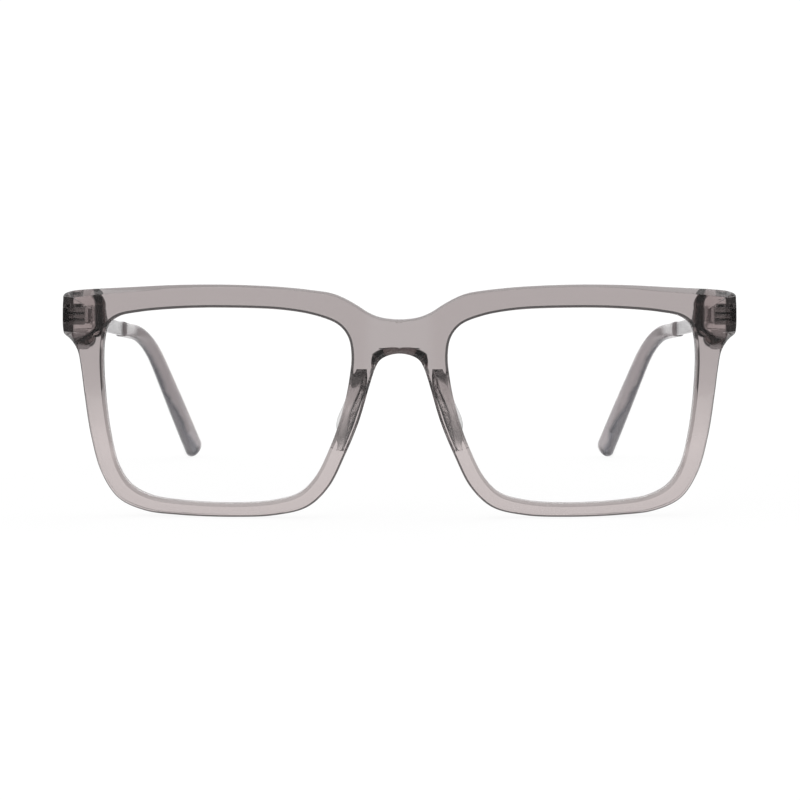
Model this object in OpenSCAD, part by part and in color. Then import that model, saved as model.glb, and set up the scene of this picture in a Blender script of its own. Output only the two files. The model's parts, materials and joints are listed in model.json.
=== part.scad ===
// Flat-top rectangular eyeglasses: acetate front, metal arms with spring hinges, acetate tips.
// X runs across the face, the front looks along -Y, the arms run to +Y, +Z is up.
// They stand on a table at Z = 0, on the two rims and the two tips. Millimetres.

/* [Lenses] */
// Width of each lens
lens_w = 54; // [50:0.5:56]
// Height of each lens
lens_h = 42.2; // [39:0.2:45]
// Gap between the two lenses at the nose
lens_gap = 18.5; // [17:0.5:21]
// Thickness of each lens
lens_t = 2; // [1.6:0.1:2.4]
// Depth of the lens groove in the rims
groove_d = 0.6; // [0.4:0.05:0.8]
// Depth of the lenses behind the front's face
lens_set = 1; // [0.8:0.1:1.2]
// Gap between each lens and its groove
lens_fit = 0.04; // [0.02:0.01:0.06]

/* [Front] */
// Overall width of the front
front_w = 142.9; // [140:0.5:148]
// Thickness of the front at the rims
front_t = 4; // [3.8:0.1:5]
// Width of the rims above the lenses
rim_top = 4.8; // [4:0.1:6]
// Width of the rims beside the temples
rim_side = 4.7; // [4:0.1:5.2]
// Width of the rims at their lower outer corners
rim_corner = 3.9; // [3.2:0.1:4.6]
// Width of the rims below the lenses
rim_bottom = 2.85; // [2.4:0.05:3.6]
// Width of the rims beside the nose
rim_nose = 3.5; // [3:0.1:4]
// Width of the rims where they meet the bridge
rim_arch = 4.4; // [4:0.1:4.8]
// Drop from the brow line to the top of the bridge
bridge_drop = 7.15; // [5.5:0.05:8.5]
// Height of the bridge
bridge_h = 7.1; // [6:0.1:8]
// Half width of the arch under the bridge
arch_w = 5.2; // [4.6:0.1:5.6]
// Fall of the brow line towards the end pieces
brow_fall = 1.05; // [0.6:0.05:1.5]
// Radius of the front's curve across the face
wrap_r = 320; // [260:10:600]
// Radius of the front's curve from brow to cheek
drop_r = 220; // [180:10:600]

/* [End pieces] */
// Height of the end pieces
end_h = 9.8; // [9:0.1:11]
// Radius of the end pieces' outer corners
end_r = 1.8; // [1.2:0.1:2.2]
// Depth of the end pieces from front to back at their outer side
end_t = 5.8; // [5.2:0.1:7]
// Width of the bevelled outer facet as seen from the front
facet_w = 2.85; // [2:0.05:3.2]
// Depth of the bevelled outer facet from front to back
facet_d = 3.8; // [2.5:0.1:4.4]
// Width of the thicker hinge block behind each end piece
block_w = 9.5; // [9:0.1:9.8]
// Width of the rounded wall round the hinge block
block_wall = 1.8; // [1.4:0.1:2]
// Radius of the inner corners of the hinge block
block_r = 3; // [2:0.5:3.5]
// Width of the broken edge along the top of the hinge block
block_edge = 1.3; // [0.6:0.1:1.5]

/* [Edges] */
// Width of the small bevels round the outline
bevel = 0.5; // [0.3:0.05:0.7]
// Width of the wide brow bevel at the end pieces
brow_bevel = 1.3; // [0.8:0.05:1.6]
// Width of the bevel round each lens opening
open_bevel = 0.6; // [0.4:0.05:0.7]
// Size of the broken edges on the back
back_edge = 0.4; // [0.2:0.05:0.6]
// Width of the saddle cut into the back of the arch under the bridge
saddle_w = 1.8; // [0.8:0.1:1.8]
// Depth of the relief behind the bridge
relief_d = 0.5; // [0.2:0.05:0.7]
// Half width of the relief behind the bridge
relief_w = 6.9; // [6.4:0.1:7.2]
// Width of the rounded wall of the relief
relief_wall = 1.1; // [0.6:0.1:1.4]

/* [Nose pads] */
// Height of the top of the nose pads above the table
pad_top = 31; // [28:0.5:32]
// Length of the nose pads from top to bottom
pad_l = 17; // [14:0.5:19]
// Depth of the nose pads behind the rims
pad_d = 4.8; // [3:0.1:6]
// Angle at which the nose pads open towards the back
pad_splay = 24; // [15:1:30]
// Width of the nose pads at their tops
pad_top_w = 2.4; // [1.8:0.1:2.6]
// Distance of the nose pads from the broken edge of the lens opening
pad_inset = 0.35; // [0.2:0.05:0.5]
// Thickness of the film of cement under the nose pads
cement = 0.05; // [0.03:0.01:0.1]

/* [Hinges] */
// Diameter of the hinge knuckles
knuckle_d = 3; // [2.8:0.1:3.2]
// Height of the three knuckles together
hinge_h = 3.6; // [3.4:0.1:4]
// Height of the middle knuckle
mid_h = 1.8; // [1.6:0.1:2]
// Diameter of the hinge screw
screw_d = 1.2; // [1:0.1:1.4]
// Diameter of the screw head
screw_head_d = 2.2; // [2:0.1:2.4]
// Height of the screw head
screw_head_h = 0.45; // [0.3:0.05:0.6]
// Distance of the hinge axis behind the end piece
axis_back = 2; // [1.8:0.1:2.4]
// Distance of the hinge axis from the outer side of the end piece
axis_in = 3.8; // [3.6:0.1:4.2]
// Width of the hinge anchor
anchor_w = 2.8; // [2.4:0.1:3.2]
// Depth of the hinge anchor in the acetate
anchor_d = 3.2; // [2.6:0.1:3.8]
// Height of the slots between the three bars of the hinge anchor
slot_h = 0.45; // [0.35:0.05:0.5]
// Radial clearance of the hinge screw and of the sliding shaft
run_gap = 0.03; // [0.02:0.01:0.05]
// Gap between faces that move past each other
face_gap = 0.06; // [0.04:0.01:0.1]

/* [Spring units] */
// Length of the housing on the inner side of the arm
house_l = 12.5; // [12:0.1:15]
// Height of the housing
house_h = 3; // [2.8:0.1:3.2]
// Width of the housing on the inner side of the hinge axis
house_in = 1.4; // [1.3:0.05:1.5]
// Diameter of the bore in the housing
bore_d = 2; // [1.8:0.05:2.1]
// Diameter of the shaft that runs through the spring
shaft_d = 0.8; // [0.7:0.05:0.9]
// Diameter of the spring wire
wire_d = 0.35; // [0.3:0.05:0.4]
// Number of turns in the spring
spring_turns = 7; // [5:1:9]
// Length of the thick front part of the shaft
guide_l = 2; // [1.6:0.1:2.6]
// Length of the collar that the spring pushes against
stop_l = 0.8; // [0.6:0.1:1.2]
// Length of the nut on the end of the shaft
nut_l = 0.9; // [0.7:0.1:1.2]

/* [Arms] */
// Length of the arms from the hinge axis to the end of the tips, along their curve
arm_l = 145; // [140:1:150]
// Thickness of the metal arms
arm_t = 1.4; // [1.2:0.1:1.6]
// Height of the metal arms
arm_h = 3.2; // [3.1:0.1:3.5]
// Length of the bare metal from the hinge axis to the tips
metal_l = 76; // [66:1:84]
// Distance from the hinge axis to the start of the bend
bend_s = 92; // [88:1:96]
// Length over which the arms bend down
bend_l = 24; // [18:1:30]
// Angle of the bend
bend_angle = 48; // [44:1:52]
// Inward angle of the tips at their ends
tip_in = 21; // [10:1:26]
// Inward angle of the arms at the hinges
toe_in = 1.6; // [0.5:0.1:2.5]
// Angle by which the sprung arms can be opened beyond their resting place
over_open = 8; // [4:1:10]

/* [Tips] */
// Thickness of the tips where they start
tip_t = 2.8; // [2.6:0.1:3.2]
// Height of the tips where they start
tip_h = 3.6; // [3.5:0.1:4.2]
// Thickness of the tips near their ends
paddle_t = 3.1; // [2.9:0.1:4]
// Height of the tips near their ends
paddle_h = 5.4; // [4.6:0.1:6.2]
// Thickness of the core inside the tips
core_t = 1.2; // [1:0.1:1.3]
// Height of the core inside the tips
core_h = 2.2; // [1.8:0.1:2.6]
// Solid length of the tips beyond the core
tip_solid = 8; // [5:1:14]
// Clearance between core and tip
core_gap = 0.04; // [0.03:0.01:0.08]

/* [Hidden] */
$fn = 32;

// Lens opening
lens_x = (lens_gap + lens_w) / 2;
open_a = lens_w / 2 - groove_d;
open_b = lens_h / 2 - groove_d;
lens_z = rim_bottom + open_b;
open_top = lens_z + open_b;
open_in = lens_x - open_a;
open_out = lens_x + open_a;

// Front outline
end_x = front_w / 2;
brow_z = open_top + rim_top;
bridge_top = brow_z - bridge_drop;
bridge_low = bridge_top - bridge_h;
end_top = brow_z - brow_fall - 0.3 * end_r;
end_low = end_top - end_h;
ramp_in = 0.4 * open_in;
ramp_out = 1.42 * open_in;
ramp_low = bridge_top + 0.06 * bridge_drop;
ramp_high = brow_z - 0.25 * bridge_drop;
shoulder_x = open_out + 0.8 * groove_d;
block_in = end_x - block_w;

// Depths behind the curved front surface
groove_y = lens_set + lens_t / 2;
groove_hw = 0.35 * lens_t;
outer_steps = 3;
lens_steps = 3;

// Hinge place
hinge_x = end_x - axis_in;
hinge_z = end_low + 0.46 * end_h;

// Shape of a lens opening, from the top centre towards the nose, as shares of its half width and half height
open_shape = [
    [0, 1], [-0.464, 0.978], [-0.729, 0.917], [-0.892, 0.829], [-0.968, 0.707],
    [-0.994, 0.532], [-0.975, 0.263], [-0.911, -0.102], [-0.82, -0.429], [-0.706, -0.722],
    [-0.578, -0.888], [-0.366, -0.97], [-0.048, -1], [0.37, -0.98], [0.616, -0.93],
    [0.771, -0.822], [0.87, -0.627], [0.934, -0.288], [0.975, 0.15], [0.987, 0.493],
    [0.975, 0.69], [0.945, 0.82], [0.862, 0.905], [0.691, 0.953], [0.37, 0.99]
];
open_n = len(open_shape);

// Small helpers
function mix(a, b, t) = a + (b - a) * t;
function clamp(v, lo, hi) = min(max(v, lo), hi);
function smooth(t) = let (c = clamp(t, 0, 1)) c * c * (3 - 2 * c);
function unit(v) = v / norm(v);
function wrap_y(x, z) = x * x / (2 * wrap_r) + pow(z - lens_z, 2) / (2 * drop_r);
function on_front(p, depth) = [p[0], wrap_y(p[0], p[1]) + depth, p[1]];
function sum_to(list, n) = n < 0 ? [0, 0, 0] : list[n] + sum_to(list, n - 1);

// Curve through four neighbouring anchors, between the middle two
function curve_at(p0, p1, p2, p3, t) =
    let (
        d0 = sqrt(norm(p1 - p0)),
        d1 = sqrt(norm(p2 - p1)),
        d2 = sqrt(norm(p3 - p2)),
        m1 = ((p1 - p0) / d0 - (p2 - p0) / (d0 + d1) + (p2 - p1) / d1) * d1,
        m2 = ((p2 - p1) / d1 - (p3 - p1) / (d1 + d2) + (p3 - p2) / d2) * d1,
        t2 = t * t,
        t3 = t2 * t
    )
    (2 * t3 - 3 * t2 + 1) * p1 + (t3 - 2 * t2 + t) * m1 + (3 * t2 - 2 * t3) * p2 + (t3 - t2) * m2;

// Lens opening: anchor, point and outward normal at a position along it
function open_anchor(i) =
    let (p = open_shape[((i % open_n) + open_n) % open_n]) [lens_x + p[0] * open_a, lens_z + p[1] * open_b];
function open_point(t) =
    let (i = floor(t)) curve_at(open_anchor(i - 1), open_anchor(i), open_anchor(i + 1), open_anchor(i + 2), t - i);
function open_normal(t) =
    let (d = unit(open_point(t + 0.05) - open_point(t - 0.05))) [d[1], -d[0]];
function rim_anchor(t, w) = open_point(t) + open_normal(t) * w;

// Outline of half the front from the middle of the brow round to the arch under the bridge.
// Each row: point, position along the lens opening, bevel, share of the end facet, width of the broken back edge.
ramp_rows = [for (r = [[0, 0, 28.3], [0.25, 0.2, 28], [0.5, 0.52, 27.6], [0.75, 0.8, 27.3], [1, 1, 27]])
    [[mix(ramp_in, ramp_out, r[0]), mix(ramp_low, ramp_high, r[1])], r[2], bevel, 0, back_edge]];
brow_rows = [
    [[lens_x - 0.7 * open_a, brow_z - 1.1 * brow_fall], 26.6, bevel, 0, back_edge],
    [[lens_x - 0.415 * open_a, brow_z - 0.4 * brow_fall], 26, bevel, 0, back_edge],
    [[lens_x, brow_z], 25, bevel, 0, back_edge],
    [[lens_x + 0.4 * open_a, brow_z - 0.1 * brow_fall], 24, mix(bevel, brow_bevel, 0.2), 0, back_edge],
    [[lens_x + 0.77 * open_a, brow_z - 0.57 * brow_fall], 23.2, mix(bevel, brow_bevel, 0.6), 0, back_edge],
    [[shoulder_x, brow_z - 0.9 * brow_fall], 22.5, mix(bevel, brow_bevel, 0.9), 0, back_edge],
    [[mix(shoulder_x, end_x - end_r, 0.3), brow_z - brow_fall], 22.2, brow_bevel, 0, mix(back_edge, block_edge, 0.5)]
];
end_low_p = [end_x - 0.9 * end_r, end_low];
throat_p = rim_anchor(19, rim_side);
end_rows = [
    [[end_x - end_r, end_top], 21.6, brow_bevel, 0.6, block_edge],
    [[end_x - 0.14 * end_r, end_top - 0.42 * end_r], 21.3, brow_bevel, 1, mix(back_edge, block_edge, 0.6)],
    [[end_x - 0.04 * end_r, end_top - 1.15 * end_r], 21.1, brow_bevel, 1, mix(back_edge, block_edge, 0.2)],
    [[end_x, (end_top + end_low) / 2], 20.75, brow_bevel, 1, back_edge],
    [[end_x - 0.04 * end_r, end_low + 1.2 * end_r], 20.4, brow_bevel, 1, back_edge],
    [[end_x - 0.2 * end_r, end_low + 0.48 * end_r], 20.1, brow_bevel, 1, back_edge],
    [end_low_p, 19.9, bevel, 0.6, back_edge],
    [[mix(end_low_p[0], throat_p[0], 0.4), mix(end_low_p[1], throat_p[1], 0.26)], 19.7, bevel, 0.1, back_edge],
    [[mix(end_low_p[0], throat_p[0], 0.75), mix(end_low_p[1], throat_p[1], 0.72)], 19.3, bevel, 0, back_edge]
];
rim_list = [
    [18.6, rim_side], [18, mix(rim_side, rim_corner, 0.35)], [17, mix(rim_side, rim_corner, 0.7)],
    [16, rim_corner], [15, rim_corner], [14, mix(rim_corner, rim_bottom, 0.5)],
    [13, mix(rim_corner, rim_bottom, 0.85)], [12, rim_bottom], [11, mix(rim_bottom, rim_nose, 0.3)],
    [10, mix(rim_bottom, rim_nose, 0.8)], [9, rim_nose], [8, rim_nose],
    [7, mix(rim_nose, rim_arch, 0.4)], [6, rim_arch]
];
rim_rows = [for (r = rim_list) [rim_anchor(r[0], r[1]), r[0], bevel, 0, back_edge]];
arch_rows = [for (r = [[1, 0.65, 5.6, 0.4], [0.81, 0.29, 5.2, 1], [0.52, 0.1, 5, 0.85], [0, 0, 4.8, 0.53]])
    [[arch_w * r[0], bridge_low - arch_w * r[1]], r[2], bevel, 0, saddle_w * r[3]]];
first_row = [[0, bridge_top], 28.6, bevel, 0, back_edge];
outline = concat([first_row], ramp_rows, brow_rows, end_rows, rim_rows, arch_rows);
outline_n = len(outline);

// Points of the outline before its first and after its last anchor mirror across the middle
function outline_point(i) =
    i < 0 ? [-outline[-i][0][0], outline[-i][0][1]]
    : i >= outline_n ? let (p = outline[2 * outline_n - 2 - i][0]) [-p[0], p[1]]
    : outline[i][0];
function outline_at(s) =
    let (i = min(floor(s), outline_n - 2))
    curve_at(outline_point(i - 1), outline_point(i), outline_point(i + 1), outline_point(i + 2), s - i);
function outline_normal(s) =
    s <= 0 ? [0, -1]
    : s >= outline_n - 1 ? [0, 1]
    : let (d = unit(outline_at(s + 0.05) - outline_at(s - 0.05))) [d[1], -d[0]];
function outline_value(s, k) =
    let (i = min(floor(s), outline_n - 2)) mix(outline[i][k], outline[i + 1][k], s - i);

// Back of the front: flat hinge blocks with rounded walls rise out of it at the end pieces,
// and it is relieved behind the bridge and beside the top of the nose
block_y = wrap_y(end_x, hinge_z) + end_t;
block_low = end_low - 0.2 * end_h;
block_mid = (end_top + end_low) / 2;
block_straight = end_h / 2 - block_r;
relief_low = bridge_low - bridge_h;
function block_side(z) =
    let (t = clamp((abs(z - block_mid) - block_straight) / block_r, 0, 0.95)) block_in + block_r * (1 - sqrt(1 - t * t));
function block_share(x, z) = smooth((x - block_side(z)) / block_wall) * smooth((z - block_low) / (1.8 * block_wall));
function relief(x, z) = relief_d * smooth((relief_w - x) / relief_wall) * smooth(2 * (z - relief_low) / bridge_h);
function plain_y(p) = wrap_y(p[0], p[1]) + front_t - relief(p[0], p[1]);
function back_y(p, less = 0) = mix(plain_y(p), block_y, block_share(p[0], p[1])) - less;

// One rib of the front: a closed section from the lens opening to the outline, front face first
function rib(p, t, normal, edge, facet, back) =
    let (
        q = open_point(t),
        out = open_normal(t),
        crease = [end_x - facet_w, clamp(p[1], end_low + 0.7 * end_r, end_top - 0.7 * end_r)],
        face = mix(p + normal * edge, crease, facet),
        back_p = p + normal * back,
        inner_p = q + out * back_edge,
        side_drop = mix(back_edge, back, 1.5)
    )
    [
        on_front(q + out * open_bevel, 0),
        on_front(face, 0),
        on_front(p, mix(edge, facet_d, facet)),
        [p[0], back_y(p, side_drop), p[1]],
        for (m = back_marks(back_p, inner_p)) let (b = mix(back_p, inner_p, m)) [b[0], back_y(b), b[1]],
        [q[0], back_y(q, back_edge), q[1]],
        on_front(q, groove_y + groove_hw),
        on_front(q + out * groove_d, groove_y),
        on_front(q, groove_y - groove_hw),
        on_front(q, open_bevel)
    ];
rib_n = 15;

// Shares of a rib's back at which it has points: evenly, or close together on a wall between two places across
function wall_marks(near, far) =
    near > 0.95 || far < -0.6 ? [0, 0.22, 0.42, 0.62, 0.8, 1]
    : let (a = clamp(near, 0.04, 0.86), b = clamp(far, a + 0.08, 0.97)) [0, a, mix(a, b, 0.35), mix(a, b, 0.65), b, 1];
function back_marks(from, to) =
    let (
        run = to[0] - from[0],
        at_block = from[0] > lens_x,
        x1 = at_block ? block_side((from[1] + to[1]) / 2) : relief_w,
        x0 = at_block ? x1 + block_wall : x1 - relief_wall
    )
    abs(run) < 0.3 ? wall_marks(1, 1) : wall_marks((x0 - from[0]) / run, (x1 - from[0]) / run);

// Ribs round the outline, then ribs that end on the middle plane of the bridge
outline_ribs = [for (j = [0 : (outline_n - 1) * outer_steps]) let (s = j / outer_steps)
    let (row = [for (k = [1 : 4]) outline_value(s, k)])
    rib(outline_at(s), row[0], outline_normal(s), row[1], row[2], row[3])];
middle_ribs = [for (k = [1 : 3])
    rib([0, mix(bridge_low + bevel, bridge_top - bevel, k / 4)], mix(4.8, 3.6, k / 4), [0, 0], 0, 0, back_edge)];
ribs = concat(outline_ribs, middle_ribs);
ribs_n = len(ribs);
closing_rib = len(outline_ribs) - 1;

// The halves share the points of a rib that lie on the middle plane
function is_middle(i, k) = k >= 1 && k <= 4 && (i == 0 || i >= closing_rib);
function rib_id(side, i, k) = (side == 1 && !is_middle(i, k) ? ribs_n * rib_n : 0) + i * rib_n + k;
function inside_face(i, k) = k >= 1 && k <= 3 && i >= closing_rib;
function quad(a, b, c, d, flip) = flip ? [[a, c, b], [a, d, c]] : [[a, b, c], [a, c, d]];
front_faces = [
    for (side = [0, 1], i = [0 : ribs_n - 1], k = [0 : rib_n - 1])
        if (!inside_face(i, k))
            let (i2 = (i + 1) % ribs_n, k2 = (k + 1) % rib_n)
            each quad(rib_id(side, i, k), rib_id(side, i, k2), rib_id(side, i2, k2), rib_id(side, i2, k), side == 1)
];
front_points = concat([for (r = ribs) each r], [for (r = ribs) for (p = r) [-p[0], p[1], p[2]]]);

// Closed solid through a row of rings of points, closed at both ends by fans round a middle point
function ring_solid_points(rings, first, last) = concat([first], [for (r = rings) each r], [last]);
function ring_solid_faces(n_rings, n) = concat(
    [for (k = [0 : n - 1]) [0, 1 + k, 1 + (k + 1) % n]],
    [for (i = [0 : n_rings - 2], k = [0 : n - 1])
        let (a = 1 + i * n + k, b = 1 + i * n + (k + 1) % n) each [[a, a + n, b + n], [a, b + n, b]]],
    [for (k = [0 : n - 1]) let (e = 1 + (n_rings - 1) * n) [e + n, e + (k + 1) % n, e + k]]
);
module ring_solid(rings, first, last) {
    polyhedron(ring_solid_points(rings, first, last), ring_solid_faces(len(rings), len(rings[0])), convexity = 6);
}

// Lens: rings of shares of its outline, each with its depth, and the ridge that sits in the groove
lens_front_y = groove_y - lens_t / 2;
lens_back_y = groove_y + lens_t / 2;
function lens_ring(share, grow, depth) = [for (j = [0 : open_n * lens_steps - 1])
    let (
        t = -j / lens_steps,
        p = mix([lens_x, lens_z], open_point(t) + open_normal(t) * grow, share)
    )
    on_front(p, depth)];
lens_rings = [
    lens_ring(0.5, 0, lens_front_y),
    lens_ring(1, -lens_fit, lens_front_y),
    lens_ring(1, -lens_fit, groove_y - groove_hw),
    lens_ring(1, groove_d - 2 * lens_fit, groove_y),
    lens_ring(1, -lens_fit, groove_y + groove_hw),
    lens_ring(1, -lens_fit, lens_back_y),
    lens_ring(0.5, 0, lens_back_y)
];

// Nose pad: sections from its top to its bottom, each a dome on the back of the rim that leans away from the nose
pad_sections = 12;
pad_points = 12;
function pad_section(u) =
    let (
        z = pad_top - pad_l * u,
        nose = mix(rim_arch, rim_nose, smooth(u * 1.6)),
        q = rim_mid(z),
        x1 = q[0] - back_edge - pad_inset,
        x0 = mix(x1 - pad_top_w, q[0] - nose + 0.7 * back_edge, smooth(u * 2.5)),
        taper = 1 - 0.3 * smooth((u - 0.6) / 0.4) - 0.15 * smooth(1 - u / 0.1),
        rise = smooth(u / 0.16 + 0.12) * (1 - 0.75 * smooth((u - 0.6) / 0.4)),
        depth = pad_d * rise,
        lean = depth * tan(pad_splay),
        half = (x1 - x0) / 2 * taper
    )
    [for (k = [0 : pad_points - 1])
        let (
            w = 180 * k / (pad_points - 1),
            across = -sign(cos(w)) * pow(abs(cos(w)), 0.65) * half,
            back = pow(abs(sin(w)), 0.65),
            p = [(x0 + x1) / 2 + across * (1 + 0.12 * back) + lean * back, z]
        )
        on_front(p, front_t + cement + depth * back)];
// Nose edge of the lens opening at a height, found between its positions 5 and 9
function rim_mid(z, lo = 5, hi = 9.5, n = 18) =
    n == 0 ? open_point(lo)
    : let (m = (lo + hi) / 2) open_point(m)[1] > z ? rim_mid(z, m, hi, n - 1) : rim_mid(z, lo, m, n - 1);
pad_rings = [for (i = [0 : pad_sections]) pad_section(i / pad_sections)];
function middle(ring) = sum_to(ring, len(ring) - 1) / len(ring);

// Course of an arm in its own frame: straight, then inwards and down
arm_clear = 0.1;
arm_x = knuckle_d / 2 + face_gap + arm_clear + arm_t / 2;
solder = 0.02;
curve_l = 1.17 * bend_l;
curve_s = bend_s - bend_l / 3;
function down_at(s) = bend_angle * smooth((s - bend_s) / bend_l);
function in_at(s) = tip_in * smooth((s - curve_s) / curve_l);
function heading(s) = [-sin(in_at(s)) * cos(down_at(s)), cos(in_at(s)) * cos(down_at(s)), -sin(down_at(s))];
function path_to(s, n = 24) =
    s <= curve_s ? [arm_x, s, 0]
    : let (h = (s - curve_s) / n)
        [arm_x, curve_s, 0] + h * sum_to([for (i = [0 : n - 1]) heading(curve_s + (i + 0.5) * h)], n - 1);
function side_at(s) = [cos(in_at(s)), sin(in_at(s)), 0];
function up_at(s) = cross(side_at(s), heading(s));

// Section of an arm or tip: rounded outline of half thickness a and half height b, turned about the course
function round_section(s, a, b, power, n, turn = 0) =
    let (
        c = path_to(s),
        side = side_at(s) * cos(turn) + up_at(s) * sin(turn),
        up = up_at(s) * cos(turn) - side_at(s) * sin(turn)
    )
    [for (k = [0 : n - 1]) let (w = -360 * (k + 0.5) / n, x = cos(w), z = sin(w))
        c + side * (a * sign(x) * pow(abs(x), 2 / power)) + up * (b * sign(z) * pow(abs(z), 2 / power))];

// Tip: its thickness, height and turn along the course
tip_end_r = 0.4 * paddle_h;
tip_l = arm_l - metal_l;
function tip_a(s) = mix(tip_t, paddle_t, smooth((s - metal_l) / (0.88 * tip_l))) / 2;
function tip_b(s) = mix(tip_h, paddle_h, smooth((s - metal_l - 0.12 * tip_l) / (0.8 * tip_l))) / 2;
function tip_turn(s) = 14 * smooth((s - bend_s) / (arm_l - bend_s));
function end_round(s) = let (d = (s - (arm_l - tip_end_r)) / tip_end_r) d <= 0 ? 1 : sqrt(max(1 - d * d, 0.02));
function tip_section(s) =
    round_section(s, tip_a(s) * end_round(s), tip_b(s) * end_round(s), 2.2, 12, tip_turn(s));
tip_steps = 20;
tip_front = metal_l + face_gap / 2;
tip_outer = concat(
    [for (i = [0 : tip_steps]) mix(tip_front, arm_l - tip_end_r, i / tip_steps)],
    [for (d = [0.4, 0.7, 0.9]) arm_l - tip_end_r * (1 - d)]
);
core_end = arm_l - tip_solid;
core_steps = 16;
core_s = [for (i = [0 : core_steps]) mix(metal_l, core_end, i / core_steps)];
function core_a(s) = core_t / 2 * mix(1, 0.8, (s - metal_l) / (core_end - metal_l));
function core_b(s) = core_h / 2 * mix(1, 0.75, (s - metal_l) / (core_end - metal_l));

// Lean of the arms below the front's horizontal, at which the lowest point of the tips is on the table
hinge_y = block_y + axis_back;
tip_low = [for (s = tip_outer) each tip_section(s)];
function height_at(angle) = hinge_z + min([for (p = tip_low) p[2] * cos(angle) - p[1] * sin(angle)]);
function find_lean(angle, n) =
    n == 0 ? angle : find_lean(angle + atan(height_at(angle) / norm(path_to(arm_l))), n - 1);
lean = find_lean(4, 4);

// Places along the spring unit, behind the hinge axis
house_y = knuckle_d / 2 + 0.75;
guide_end = house_y + guide_l;
stop_y = guide_end + 0.05;
spring_y = stop_y + stop_l + 0.05;
house_wall = 0.8;
house_edge = 0.25;
shaft_over = 0.3;
nut_y = house_y + house_l - house_wall - shaft_over - nut_l - 0.3;
spring_l = nut_y - spring_y - 0.05;
spring_r = (shaft_d + bore_d) / 4 + 0.02;

module side(left) {
    if (left) children();
    else mirror([1, 0, 0]) children();
}
module at_hinge() {
    translate([hinge_x, hinge_y, hinge_z]) children();
}
module at_arm() {
    at_hinge() rotate([0, 0, toe_in]) rotate([-lean, 0, 0]) children();
}
// Round bar along +Y from y0 to y1
module bar_y(d, y0, y1) {
    translate([0, y0, 0]) rotate([-90, 0, 0]) cylinder(d = d, h = y1 - y0);
}

// Anchor of the front hinge in the acetate: a foot with three bars, each notched on both sides to hold it
module anchor(grow) {
    notch = 0.35;
    bar_h = (hinge_h - 2 * slot_h) / 3;
    front = -axis_back - anchor_d;
    difference() {
        translate([-anchor_w / 2 - grow, front - grow, -hinge_h / 2 - grow])
            cube([anchor_w + 2 * grow, anchor_d + grow, hinge_h + 2 * grow]);
        for (m = [-1, 1])
            translate([0, front - 2 * grow, m * (bar_h + slot_h) / 2 - slot_h / 2 + grow])
                translate([-anchor_w, 0, 0]) cube([2 * anchor_w, 0.6 * anchor_d, slot_h - 2 * grow]);
        for (m = [-1, 1])
            translate([m * (anchor_w / 2 + grow) - notch / 2, front + 0.3 * anchor_d, -hinge_h])
                cube([notch, 0.2 * anchor_d, 2 * hinge_h]);
    }
}

module front_frame() {
    color([0.66, 0.61, 0.6])
    difference() {
        polyhedron(front_points, front_faces, convexity = 12);
        for (left = [true, false]) side(left) at_hinge() anchor(run_gap);
    }
}

module lens(left) {
    color([0.86, 0.9, 0.92, 0.4])
    side(left) ring_solid(lens_rings, on_front([lens_x, lens_z], lens_front_y), on_front([lens_x, lens_z], lens_back_y));
}

module nose_pad(left) {
    color([0.5, 0.46, 0.46])
    side(left) ring_solid(pad_rings, middle(pad_rings[0]), middle(pad_rings[pad_sections]));
}

module front_hinge(left) {
    side_h = (hinge_h - mid_h) / 2 - face_gap;
    color([0.72, 0.72, 0.74])
    side(left) at_hinge() difference() {
        union() {
            anchor(0);
            for (z = [-hinge_h / 2, hinge_h / 2 - side_h]) {
                translate([0, 0, z]) cylinder(d = knuckle_d, h = side_h);
                translate([-anchor_w / 2, -axis_back, z]) cube([anchor_w, axis_back, side_h]);
            }
        }
        cylinder(d = screw_d + 2 * run_gap, h = 2 * hinge_h, center = true);
    }
}

module hinge_screw(left) {
    color([0.8, 0.8, 0.82])
    side(left) at_hinge() difference() {
        union() {
            translate([0, 0, -hinge_h / 2 - face_gap]) cylinder(d = screw_d, h = hinge_h + 2 * face_gap);
            translate([0, 0, hinge_h / 2 + face_gap / 2]) cylinder(d = screw_head_d, h = screw_head_h);
        }
        translate([0, 0, hinge_h / 2 + screw_head_h]) cube([screw_head_d + 1, 0.35, 0.5], center = true);
    }
}

module slider(left) {
    neck_h = mid_h - 0.3;
    color([0.74, 0.74, 0.76])
    side(left) difference() {
        union() {
            at_hinge() translate([0, 0, -mid_h / 2]) cylinder(d = knuckle_d, h = mid_h);
            at_arm() {
                translate([-0.8, 0, -neck_h / 2]) cube([1.6, house_y - face_gap / 2, neck_h]);
                bar_y(bore_d - 2 * run_gap, house_y - 0.4, guide_end);
                bar_y(shaft_d, guide_end - 0.1, nut_y + nut_l + shaft_over);
            }
        }
        at_hinge() cylinder(d = screw_d + 2 * run_gap, h = 2 * hinge_h, center = true);
    }
}

module shaft_nut(left) {
    color([0.6, 0.6, 0.62])
    side(left) at_arm() difference() {
        bar_y(bore_d - 4 * run_gap, nut_y, nut_y + nut_l);
        bar_y(shaft_d + 0.02, nut_y - 1, nut_y + nut_l + 1);
    }
}

// Coil along +Y, as one tube of six sides
coil_steps = 10;
coil_rings = [for (i = [0 : spring_turns * coil_steps])
    let (
        a = 360 * i / coil_steps,
        y = mix(spring_y + wire_d / 2, spring_y + spring_l - wire_d / 2, i / (spring_turns * coil_steps)),
        out = [cos(a), 0, sin(a)]
    )
    [for (k = [0 : 5]) let (w = 60 * k) [0, y, 0] + out * (spring_r + wire_d / 2 * cos(w)) + [0, wire_d / 2 * sin(w), 0]]];
module spring(left) {
    color([0.55, 0.55, 0.58])
    side(left) at_arm() ring_solid(coil_rings, middle(coil_rings[0]), middle(coil_rings[len(coil_rings) - 1]));
}

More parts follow.
